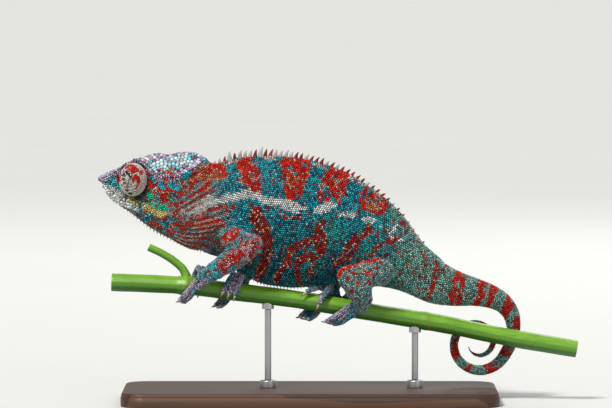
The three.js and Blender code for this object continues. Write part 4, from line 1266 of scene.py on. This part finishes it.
# single scales that stand out: orange and yellow ones in the red, pale ones, and dark red ones
orange = 0.14 * root_marks["blood"] + 0.05 * root_marks["red"] + 0.1 * root_marks["neck"]
orange = chance > 1 - orange
fleck = 0.01 + 0.07 * root_marks["blood"] + 0.02 * root_marks["neck"]
fleck = fleck + 0.06 * root_places.where("leg", "hand", "foot")
root_marks["yellow"] = np.maximum(root_marks["yellow"], 0.15 * orange)
root_marks["warm"] = np.maximum(root_marks["warm"], orange)
for name in ("blood", "red", "neck"):
    root_marks[name] = root_marks[name] * (1 - 0.7 * orange)
root_marks["pale"] = np.maximum(root_marks["pale"] * (1 - 0.7 * (chance > 0.85)), 0.55 * (chance < fleck))
root_marks["blood"] = np.maximum(root_marks["blood"], 0.9 * (np.abs(chance - 0.5) < 0.022))
root_radii = cell_radii(roots, root_normals, root_places.lie, root_pitch) * CELL_FILL
steepness = 0.44 + 0.2 * dice.random(len(roots))
root_heights = SCALE_HEIGHT * (root_pitch / SCALE_HEIGHT) ** 0.6 * steepness
root_heights = root_heights * (1 - 0.3 * root_places.where("hand", "foot"))
root_broad = step(1.5, 2.1, root_pitch)
# no scale stands under a turret
off_axis, height = eye_reach(roots)
shown = ~((off_axis < EYE_ROOM - 1.2) & (height > -4))
coat_finish = scaly_finish("scaly_skin")
root_uv = bake_place(root_places)
for share in range(SHARES):
    here = np.flatnonzero(shown & (np.arange(len(roots)) % SHARES == share))
    marks = {key: value[here] for key, value in root_marks.items()}
    coat = scale_mesh(
        "scales_" + str(share + 1), roots[here], root_normals[here], root_places.lie[here], root_radii[here],
        root_heights[here], root_broad[here], root_uv[here], marks)
    dress(coat, coat_finish, "skin")

skin = linked("skin", skin_mesh)
skin_marks = markings(skin_points, skin_places)
skin_marks["own"] = np.full(len(skin_points), SKIN_TONE)
# with no rise, the skin between the scales takes the full painted shade of the gaps
give_marks(skin_mesh, skin_marks)
move_points(skin_mesh, skin_points * MM)
skin_mesh.shade_smooth()
dress(skin, coat_finish, "skin",
      *[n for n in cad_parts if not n.startswith(("claw", "eye", "perch", "stand"))])

# ---------------------------------------------------------------- eye turrets and eyes

TURRET_ROW, TURRET_PITCH = 0.8, 0.86
GRANULE_LONG, GRANULE_WIDE, GRANULE_HEIGHT = 0.46, 0.42, 0.36
TURRET_RINGS, TURRET_SIDES, EYE_RINGS, EYE_SIDES = 48, 72, 20, 40
PUPIL = [-102.0, 129.8]
IRIS_RING = [1.02, 1.12]  # where the pupil ends and the iris starts
TURRET_MARKS = {
    "red": [
        [[-104.6, 134, 0.7], [-102.8, 134.9, 1], [-101, 135, 1], [-99.2, 134.6, 0.8]],
        [[-102, 132.8, 1.1], [-99.4, 132.3, 1.3]], [[-98.2, 133.3, 0.7], [-97.2, 132.4, 0.7]],
        [[-95.7, 131.5, 1.1]], [[-98.6, 129.7, 1], [-99.5, 128.2, 1.3], [-100, 127, 1]],
        [[-97.4, 128.4, 1.2], [-97.3, 126.2, 1.2]], [[-98, 124, 0.7], [-98.8, 122.8, 0.6]],
        [[-107.2, 131.2, 0.6], [-107.9, 128.8, 0.8], [-108, 126.2, 0.6]], [[-106.6, 124.2, 0.5]],
    ],
    "warm": [[[-103, 133.9, 0.5], [-101, 134.3, 0.6], [-98.6, 133.8, 0.5]], [[-96.6, 133.6, 0.5]]],
    "dark_lines_and_painted_shade": [
        [[-105.6, 132.4, 0.5], [-105.2, 129.8, 0.5]], [[-104.2, 132, 0.6], [-102.8, 130.6, 0.7]],
        [[-102.2, 129.2, 0.7], [-101, 127.9, 0.6]], [[-106, 128.2, 0.5], [-105.2, 127.6, 0.4]],
        [[-105.6, 125.8, 0.5], [-104.6, 125.4, 0.5]], [[-104.4, 123.6, 0.5], [-103.4, 123.2, 0.5]],
        [[-104.2, 121.8, 0.5], [-103.2, 121.4, 0.5]], [[-102.2, 119.8, 0.6], [-100.8, 119.4, 0.5]],
        [[-98.4, 117.8, 0.6], [-96.8, 118.4, 0.6]], [[-100.9, 124.8, 0.35], [-102.2, 123, 0.35]],
    ],
}
EYE_PROFILE = [[1.5, 6.2], [1.42, 6.75], [1.22, 7.15], [0.88, 7.42], [0.45, 7.55], [0.02, 7.58]]


def profile_way(profile):
    return way([[radius, height, 0] for radius, height in profile])


def turned(profile, side, turn):
    """Points turned about the eye's line of sight, in the turret's oval."""
    gaze = EYE_GAZE * mirrored(side)
    east = unit(np.cross(Z_WAY, gaze))
    north = np.cross(gaze, east)
    radius, height = np.asarray(profile).T
    off = (east * np.cos(turn)[..., None] + north * np.sin(turn)[..., None]) * radius[:, None]
    return EYE_MIDDLE * mirrored(side) + (off + gaze * height[:, None]) * EYE_OVAL


def turned_rings(profile, side, sides):
    turns = [np.full(len(profile), turn) for turn in all_round(sides)]
    return np.stack([turned(profile, side, turn) for turn in turns], axis=1)


def turret_rows(side):
    """Roots, normals and lies of the granules, in rings from the turret's foot to its opening."""
    profile = profile_way(TURRET_PROFILE)
    length = np.linalg.norm(np.diff(np.array(TURRET_PROFILE), axis=0), axis=1)[:-2].sum()
    rows = int(length / TURRET_ROW)
    made = []
    for i in range(rows):
        share = (i + 0.3) / rows * 0.93
        low, here, high = profile(np.array([share - 0.01, share, share + 0.01]))[:, :2]
        count = max(10, int(2 * math.pi * here[0] / TURRET_PITCH))
        turn = (np.arange(count) + 0.5 * (i % 2)) / count * 2 * math.pi
        below, root, above = [turned(np.tile(spot, (count, 1)), side, turn) for spot in (low, here, high)]
        round_way = unit(np.roll(root, -1, axis=0) - np.roll(root, 1, axis=0))
        normal = unit(np.cross(unit(above - below), round_way))
        normal *= np.sign((normal * (root - EYE_MIDDLE * mirrored(side))).sum(-1, keepdims=True))
        made.append((root, normal, round_way, turn, np.full(count, 0.9 if i % 2 else 0.15)))
    return [np.concatenate(part) for part in zip(*made)]


def turret_marks(points):
    x, z = points[:, 0], points[:, 2]
    marks = {"own": np.random.default_rng(SEED + 5).random(len(points)) ** 0.55}
    ragged = 0.3 * waves(points, 1.2, 32)
    marks["red"] = strokes(x, z, TURRET_MARKS["red"], ragged)
    marks["warm"] = strokes(x, z, TURRET_MARKS["warm"], ragged) * (1 - marks["red"])
    marks["turret"] = (1 - marks["red"]) * (1 - marks["warm"])
    bearing, far = np.arctan2(z - PUPIL[1], x - PUPIL[0]), np.hypot(x - PUPIL[0], z - PUPIL[1])
    rays = step(0.5, 0.85, np.sin(bearing * 11 + 1.2 * waves(points, 5, 31))) * step(1.6, 2.2, far)
    rays *= step(8.5, 5.5, far) * step(-0.1, 0.5, np.cos(bearing - 3.4))
    marks["dark_lines_and_painted_shade"] = np.maximum(strokes(x, z, TURRET_MARKS["dark_lines_and_painted_shade"], ragged), 0.8 * rays) * (1 - marks["red"])
    rim = step(1.6, 1.0, np.abs(eye_reach(points)[0] - 8.3))
    marks["lilac"] = 0.6 * rim * step(-0.2, 0.4, waves(points, 2, 37))
    return marks


eye_finish = Finish("glossy_eye", Roughness=0.06, Coat_Weight=1.0, Coat_Roughness=0.03)
iris = eye_finish.mark("iris")
gold = eye_finish.mix(eye_finish.noise(3000.0, 3.0), hue("4a2a0c"), hue("c98a2a"))
eye_finish.set(Base_Color=eye_finish.mix(iris, hue("050404"), gold))

turret_parts = []
for side, name in ((-1, "left"), (1, "right")):
    profile = profile_way(TURRET_PROFILE)(np.linspace(0, 1, TURRET_RINGS))[:, :2]
    rings = turned_rings(profile - np.array([0.25, 0.1]), side, TURRET_SIDES)
    turret = tubes("eye_turret_skin_" + name, [rings], last=-1)
    shell = rings.reshape(-1, 3)
    marks = turret_marks(shell)
    marks["own"] = np.full(len(shell), SKIN_TONE)
    # the turret's skin lies in the painted shade between the granules, less of it by the opening
    marks["rise"] = 0.15 + 0.45 * step(2.9, 2.2, eye_reach(shell)[0])
    give_marks(turret.data, marks)
    dress(turret, coat_finish, "eyelid", "eye_turret_" + name)
    turret_parts.append(turret_rows(side))
    rings = turned_rings(profile_way(EYE_PROFILE)(np.linspace(0, 1, EYE_RINGS))[:, :2], side, EYE_SIDES)
    eye = tubes("eye_" + name, [rings])
    give(eye.data, iris=step(*IRIS_RING, eye_reach(rings.reshape(-1, 3))[0]))
    dress(eye, eye_finish, "eye", "eyeball_" + name)
points, outs, lies, angles, tones = [np.concatenate(part) for part in zip(*turret_parts)]
marks = turret_marks(points)
# on the lower right the rows of granules alternate light and dark, darkened further as painted shade
rings_and_painted_shade = 0.6 * step(0, 6, (points[:, 0] - PUPIL[0]) - (points[:, 2] - PUPIL[1]))
marks["own"] = marks["own"] + (tones - marks["own"]) * rings_and_painted_shade
marks["dark_lines_and_painted_shade"] = np.maximum(marks["dark_lines_and_painted_shade"], 0.42 * rings_and_painted_shade * (tones < 0.5) * marks["turret"])
radii = np.where(np.abs(np.cos(CELL_TURN)) > 0.8, GRANULE_LONG, GRANULE_WIDE)
radii = np.tile(radii, (len(points), 1))
off_axis = eye_reach(points)[0] / 45
flat = np.stack([0.25 + 0.5 * (points[:, 1] > 0) + off_axis * np.cos(angles),
                 0.5 + off_axis * np.sin(angles)], axis=-1)
flush = np.zeros(len(points))
granules = scale_mesh(
    "eye_turret_granules", points, outs, lies, radii, flush + GRANULE_HEIGHT, flush, flat, marks)
dress(granules, coat_finish, "eyelid")

# ---------------------------------------------------------------- spines and claws

TALL_SPINES = [-45.6, -29.6]  # X of the two white ones
CREST_PITCH, LOW_PITCH = 2.9, 1.9


def horn_rings(root, ahead, lean, length, radius, tip, sides, count, sideways=Y_WAY):
    """Rings of one curved horn: it starts along ahead and bends towards lean."""
    share = np.linspace(0, 1, count)[:, None]
    middles = root + ahead * length * share + lean * length * share ** 2
    size = tip + (radius - tip) * (1 - share[:, 0]) ** 0.75
    size[0] = radius * 1.12
    return tube_rings(middles, size, sides, sideways)


def spine_row(outline, heights, upwards, pitch, seed, width):
    """The spines of one crest as rings, whether each is a tall one, and a random share for each."""
    dice = np.random.default_rng(SEED + seed)
    height = line(heights)
    made = []
    for x in np.arange(heights[0][0], heights[-1][0], pitch):
        slope = float(outline(x + 0.5) - outline(x - 0.5))
        along = np.array([1, 0, slope]) / math.hypot(1, slope)
        out = np.array([-along[2], 0, along[0]]) * upwards
        size = float(height(x)) * dice.uniform(0.86, 1.08)
        tall = upwards > 0 and min(abs(x - at) for at in TALL_SPINES) < pitch / 2
        size *= 1.1 if tall or upwards < 0 else 0.76
        root = np.array([x, dice.uniform(-0.15, 0.15), float(outline(x))]) - out * 0.9
        lean = along * dice.uniform(0.18, 0.36)
        radius = width * (0.5 + 0.5 * min(1, size / 4)) * (1.15 if tall else 1)
        rings = horn_rings(root, out, lean, size + 0.9, radius, 0.1, SPINE_SIDES, SPINE_RINGS)
        made.append((rings, tall, dice.random()))
    return made


CRESTS = {
    "crest_spines": spine_row(back, BACK_CREST, 1, CREST_PITCH, 41, 1.5),
    "throat_spines": spine_row(belly, THROAT_CREST, -1, LOW_PITCH, 42, 0.75),
    "belly_spines": spine_row(belly, BELLY_CREST, -1, LOW_PITCH, 43, 0.6),
}
for name, row in CRESTS.items():
    spines = tubes(name, [rings for rings, _, _ in row])
    upper, count = name == "crest_spines", SPINE_RINGS * SPINE_SIDES
    rise = np.tile(np.repeat(np.linspace(0.1, 1, SPINE_RINGS), SPINE_SIDES), len(row))
    tall = np.repeat([float(is_tall) for _, is_tall, _ in row], count)
    chance = np.repeat([own for _, _, own in row], count)
    reddish = step(0.64, 0.6, chance) if upper else 0 * chance
    # rise paints each spine in shade, most at its root, with a faint painted highlight by its tip
    give_marks(spines.data, {
        "own": 0.2 + 0.5 * chance, "rise": 0.5 + 0.2 * rise, "white": tall * 0.9,
        "top": np.full(len(rise), 1.0 if upper else 0.5), "blood": reddish * (1 - tall),
        "lilac": 0.3 * step(0.3, 0.9, rise) * (chance > 0.75),
        "pale": (1 - reddish) * step(0.4, 1, rise) * 0.5,
    })
    number = np.repeat(np.arange(len(row)), count)
    spread = np.tile(np.arange(count) % SPINE_SIDES / SPINE_SIDES, len(row))
    flat = np.stack([(number + 0.1 + 0.8 * spread) / len(row), 0.05 + 0.9 * rise], axis=-1)
    lay_flat(spines.data, flat[read(spines.data.loops, "vertex_index", 1, int).ravel()])
    dress(spines, coat_finish, "skin")


def claw_rings(toe):
    """A claw carries on from its toe's tip and hooks in towards the stem."""
    tip = toe(np.array([0.96, 1.0]))
    along = unit(tip[1] - tip[0])
    inward = np.array([tip[1][0], 0, float(stem_height(tip[1][0]))]) - tip[1]
    hook = unit(across(inward, along)) * CLAW_HOOK / CLAW_LENGTH
    root, length = tip[1] - along * CLAW_ROOT, CLAW_LENGTH + CLAW_ROOT
    return horn_rings(root, along, hook, length, CLAW_RADIUS, CLAW_TIP, CLAW_SIDES, CLAW_RINGS, X_WAY)


claw_sets = [claw_rings(toe) for toes in TOES.values() for toe in toes]
claws = tubes("claws", claw_sets)
give(claws.data, along=np.tile(np.repeat(np.linspace(0, 1, CLAW_RINGS), CLAW_SIDES), len(claw_sets)))
claw_finish = Finish("claw_horn", Coat_Weight=0.3, Specular_IOR_Level=0.5)
streaks = claw_finish.noise(1800.0, 3.0)
horn = claw_finish.mix(claw_finish.mark("along"), hue("cdb2a4"), hue("5a4436"))
pale_streaks = claw_finish.mix(streaks, hue("8f8078"), hue("fffaf0"))
claw_finish.set(Base_Color=claw_finish.mix(0.6, horn, pale_streaks, "MULTIPLY"))
claw_finish.set(Roughness=0.25 + 0.2 * streaks)
claw_finish.bump(streaks, 0.2, 0.0001)
dress(claws, claw_finish, "claw", *[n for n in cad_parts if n.startswith("claw")])

# ---------------------------------------------------------------- the stem

# Each cut end's rings, as a share of the stem's radius and how far each stands in from the end.
CUT_RINGS = [[0.985, -0.25], [0.9, -0.35], [0.62, -0.3], [0.3, -0.15], [0.02, 0.1]]
SHOOT_END = [0.95, 0.6, 0.05]
SHOOT_RINGS, SHOOT_SIDES = 60, 32


def stem_rings():
    """The cut stem, with a swollen node, faint ribs and flat cut ends."""
    rows = way([[x, 0, z] for x, z in STEM_LINE])(np.linspace(0, 1, STEM_RINGS))
    x = rows[:, 0]
    swell = 1.1 * bump_at(x, STEM_NODE, 3.2) + 0.25 * bump_at(x, STEM_NODE + 1.5, 0.8)
    swell += 0.35 * bump_at(x, SECOND_SWELL, 2.6) - 0.12 * bump_at(x, SECOND_NODE, 0.7)
    radius = STEM_RADIUS + swell + 0.07 * np.sin(x / 9) + 0.05 * np.sin(x / 3.7)
    rings = tube_rings(rows, radius, STEM_SIDES)
    turn = np.arange(STEM_SIDES) / STEM_SIDES * 2 * math.pi
    ribs = 0.05 * np.sin(turn * 13)[None] + 0.06 * np.sin(turn * 5 + x[:, None] / 60)
    rings += unit(rings - rows[:, None]) * ribs[..., None]
    ends = []
    for at, order in ((0, 1), (-1, -1)):
        along, out = unit(rows[1] - rows[0]) * order, rings[at] - rows[at]
        ends.append([rows[at] + out * share + along * depth for share, depth in CUT_RINGS])
    return np.concatenate([np.array(ends[0][::-1]), rings, np.array(ends[1])])


def shoot_rings():
    share = np.linspace(0, 1, SHOOT_RINGS)
    rows = way(SHOOT_LINE)(share)
    radius = SHOOT_RADIUS * (1.0 + 0.35 * bump_at(share, 0, 0.12) - 0.08 * share)
    rings = tube_rings(rows, radius, SHOOT_SIDES)
    end = [rows[-1] + (rings[-1] - rows[-1]) * share for share in SHOOT_END]
    return np.concatenate([rings, np.array(end)])


stem_sets = [stem_rings(), shoot_rings()]
stem = tubes("stem", stem_sets)
cut = [np.zeros(rings.shape[:2]) for rings in stem_sets]
cut[0][:len(CUT_RINGS)] = 1
cut[0][-len(CUT_RINGS):] = 1
cut[1][-len(SHOOT_END):] = 1
x, y, z = np.concatenate([rings.reshape(-1, 3) for rings in stem_sets]).T
joint = bump_at(x, STEM_NODE + 1.6, 0.55) * (np.hypot(y, z - stem_height(x)) < 7)
joint = np.maximum(joint, 0.8 * bump_at(x, SECOND_NODE, 0.5))
# painted light: the stem is painted a lighter green on its upper side and darker below
sunny = step(-0.75, 0.7, read(stem.data.vertices, "normal", 3)[:, 2])
give(stem.data, cut=np.concatenate([flag.ravel() for flag in cut]), joint=joint, sunny=sunny)
stem_finish = Finish("green_stem", Specular_IOR_Level=0.5, Coat_Weight=0.15, Coat_Roughness=0.3)
grain = stem_finish.noise(1400.0, 5.0, 0.6, stem_finish.stretched((0.06, 1, 1), 0.15))
blotch = stem_finish.noise(70.0, 3.0, 0.5)
fleck = stem_finish.node("ShaderNodeTexVoronoi", {}, {"Vector": stem_finish.place(), "Scale": 420.0})
green = stem_finish.mix(grain, hue("183f04"), hue("34700e"))
lit = stem_finish.mix(grain, hue("447c08"), hue("86b626"))
green = stem_finish.mix(stem_finish.mark("sunny"), green, lit)
green = stem_finish.mix((blotch - 0.35).clamped() * 1.2, green, hue("356c0a"))
green = stem_finish.mix(((0.13 - fleck) * 9.0).clamped() * 0.5, green, hue("b9c77a"))
green = stem_finish.mix(stem_finish.mark("joint") * 0.75, green, hue("7a6a2a"))
pith = stem_finish.mix(grain, hue("b9c48a"), hue("dfe3bd"))
green = stem_finish.mix(stem_finish.mark("cut"), green, pith)
stem_finish.set(Base_Color=green, Roughness=0.32 + 0.18 * grain)
stem_finish.bump(grain, 0.35, 0.0004)
dress(stem, stem_finish, "green_stem", "perch_stem", "perch_shoot")

# ---------------------------------------------------------------- the display stand

BASE_CORNER, BASE_BEVEL, BASE_LIP, CORNER_STEPS = 14, 1.6, 0.35, 12
BASE_FOOT = [(0, -0.9), (0, -0.4), (0.25, -0.1), (0.7, 0)]  # height and how far the outline grows there
POST_SIDES, ROD_EDGE, COLLAR_EDGE = 48, 0.2, 0.7


def low_high(node):
    low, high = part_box(node)
    return np.array(low) / MM, np.array(high) / MM


def rounding(radius, steps):
    """A quarter round as pairs of rise and inset."""
    leans = [i / steps * math.pi / 2 for i in range(steps + 1)]
    return [(radius * math.sin(lean), radius * (1 - math.cos(lean))) for lean in leans]


def base_rings():
    """The base as stacked outlines with rounded corners, and a small ogee along its top edge."""
    low, high = low_high("stand_base")
    middle, half = (low + high) / 2, (high - low) / 2
    tall = high[2] - low[2]
    shoulder = tall - BASE_BEVEL
    profile = BASE_FOOT + [(shoulder - 1.2, 0), (shoulder - 0.9, -BASE_LIP)]
    profile += [(shoulder + rise, -BASE_LIP - inset) for rise, inset in rounding(BASE_BEVEL, 7)]
    profile += [(tall, -3.5), (tall, -20)]
    rings = []
    for height, grow in profile:
        ring = []
        corner = max(BASE_CORNER + grow, 1)
        for k, (sx, sy) in enumerate(((1, 1), (-1, 1), (-1, -1), (1, -1))):
            for i in range(CORNER_STEPS + 1):
                lean = (k + i / CORNER_STEPS) * math.pi / 2
                ring.append([middle[0] + sx * (half[0] + grow - corner) + corner * math.cos(lean),
                             middle[1] + sy * (half[1] + grow - corner) + corner * math.sin(lean),
                             low[2] + height])
        rings.append(ring)
    return np.array(rings)


def lathe_rings(middle, profile):
    turns = all_round(POST_SIDES)
    return np.array([
        [[middle[0] + r * math.cos(turn), middle[1] + r * math.sin(turn), z] for turn in turns]
        for r, z in profile
    ])


base = tubes("base_board", [base_rings()], False)
base.data.set_sharp_from_angle(angle=math.radians(50))
wood = Finish("base_wood", Specular_IOR_Level=0.35, Coat_Weight=0.1, Coat_Roughness=0.25)
board = wood.stretched((0.9, 9, 9))
warp = wood.noise(9.0, 4.0, 0.5, board)
growth = wood.node("ShaderNodeTexWave", {"bands_direction": "Y", "wave_profile": "SAW"},
                   {"Vector": board, "Scale": 3.2, "Distortion": 6.0, "Detail": 3.0, "Detail Scale": 1.2})
pores = wood.noise(260.0, 3.0, 0.6, wood.stretched((0.08, 2.2, 2.2)))
walnut = wood.mix(growth, hue("28180e"), hue("523420"))
walnut = wood.mix(warp * 0.6, walnut, hue("432a1a"))
walnut = wood.mix(((pores - 0.58) * 6.0).clamped() * 0.7, walnut, hue("1a100a"))
wood.set(Base_Color=walnut, Roughness=0.42 + 0.2 * pores)
wood.bump(pores, 0.12, 0.0003)
dress(base, wood, "base_wood", "stand_base")

steel = Finish("brushed_steel", Metallic=1.0)
brushing = steel.noise(900.0, 3.0, 0.6, steel.stretched((6, 6, 0.25)))
steel.set(Base_Color=steel.mix(brushing, hue("8b8d8f"), hue("c9cbcc")), Roughness=0.22 + 0.22 * brushing)
steel.bump(brushing, 0.08, 0.0001)
for name in ("stand_front", "stand_rear"):
    low, high = low_high(name + "_rod")
    foot, top = low_high(name + "_collar")
    middle, radius, wide = (low + high) / 2, (high[0] - low[0]) / 2, (top[0] - foot[0]) / 2
    rod = [(radius - ROD_EDGE, low[2]), (radius, low[2] + ROD_EDGE), (radius, high[2] - ROD_EDGE),
           (radius - ROD_EDGE, high[2])]
    collar = [(wide, foot[2]), (wide, top[2] - COLLAR_EDGE)]
    collar += [(wide - inset, top[2] - COLLAR_EDGE + rise) for rise, inset in rounding(COLLAR_EDGE, 6)[1:]]
    collar += [(radius + 0.25, top[2]), (radius + 0.2, top[2] - 0.3)]
    post = tubes(name + "_post", [lathe_rings(middle, rod), lathe_rings(middle, collar)])
    post.data.set_sharp_from_angle(angle=math.radians(40))
    dress(post, steel, "steel", name + "_rod", name + "_collar")
    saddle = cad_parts[name + "_saddle"]
    saddle.data.materials.clear()
    saddle.data.materials.append(steel.material)

# ---------------------------------------------------------------- floor, light and camera

FLOOR_HALF = 1000000
floor_corners = [[sx * FLOOR_HALF, sy * FLOOR_HALF, 0] for sx, sy in ((-1, -1), (1, -1), (1, 1), (-1, 1))]
floor = mesh_from("floor", floor_corners, range(4), [0], False)
paper = Finish("pale_floor", Roughness=0.85, Specular_IOR_Level=0.2)
paper.set(Base_Color=paper.mix(paper.noise(3.0, 3.0), hue("c9c9c7"), hue("cfcfcc")))
floor.data.materials.append(paper.material)


def soft_light(name, kind, place, size, power, colour):
    """A lamp that looks at the animal. size is its width, or for the sun its angle."""
    lamp = bpy.data.lights.new(name, kind)
    lamp.energy, lamp.color = power, colour
    if kind == "SUN":
        lamp.angle = size
    else:
        lamp.size = size
    made = linked(name, lamp)
    made.location = place
    made.rotation_euler = (Vector((0, 0, 0.1)) - Vector(place)).to_track_quat("-Z", "Y").to_euler()


soft_light("key", "SUN", (-0.7, -1.1, 1.6), 0.25, 3.5, (1.0, 0.98, 0.94))
soft_light("fill", "AREA", (1.5, -1.6, 0.9), 1.4, 8, (0.93, 0.97, 1.0))
soft_light("back", "AREA", (0.6, 1.5, 1.3), 1.0, 10, (1.0, 1.0, 0.98))
world = bpy.data.worlds.new("studio")
world.use_nodes = True
world.node_tree.nodes["Background"].inputs["Color"].default_value = (0.86, 0.88, 0.9, 1)
world.node_tree.nodes["Background"].inputs["Strength"].default_value = 0.55
bpy.context.scene.world = world
bpy.context.scene.view_settings.view_transform = "Standard"

VIEW_WIDTH = 348.8  # millimetres across the picture at the animal
CAMERA_FAR = 2500
CAMERA_LEAN = math.radians(2.72)
SENSOR = 36
CAMERA_TARGET = np.array([-2.3, 0, 112.9])
camera_data = bpy.data.cameras.new("camera")
camera_data.sensor_width = SENSOR
camera_data.lens = SENSOR * CAMERA_FAR / VIEW_WIDTH
camera_data.clip_end = 2000
camera = linked("camera", camera_data)
away = np.array([0, -math.cos(CAMERA_LEAN), math.sin(CAMERA_LEAN)]) * CAMERA_FAR
camera.location = (CAMERA_TARGET + away) * MM
camera.rotation_euler = (math.pi / 2 - CAMERA_LEAN, 0, 0)
bpy.context.scene.camera = camera
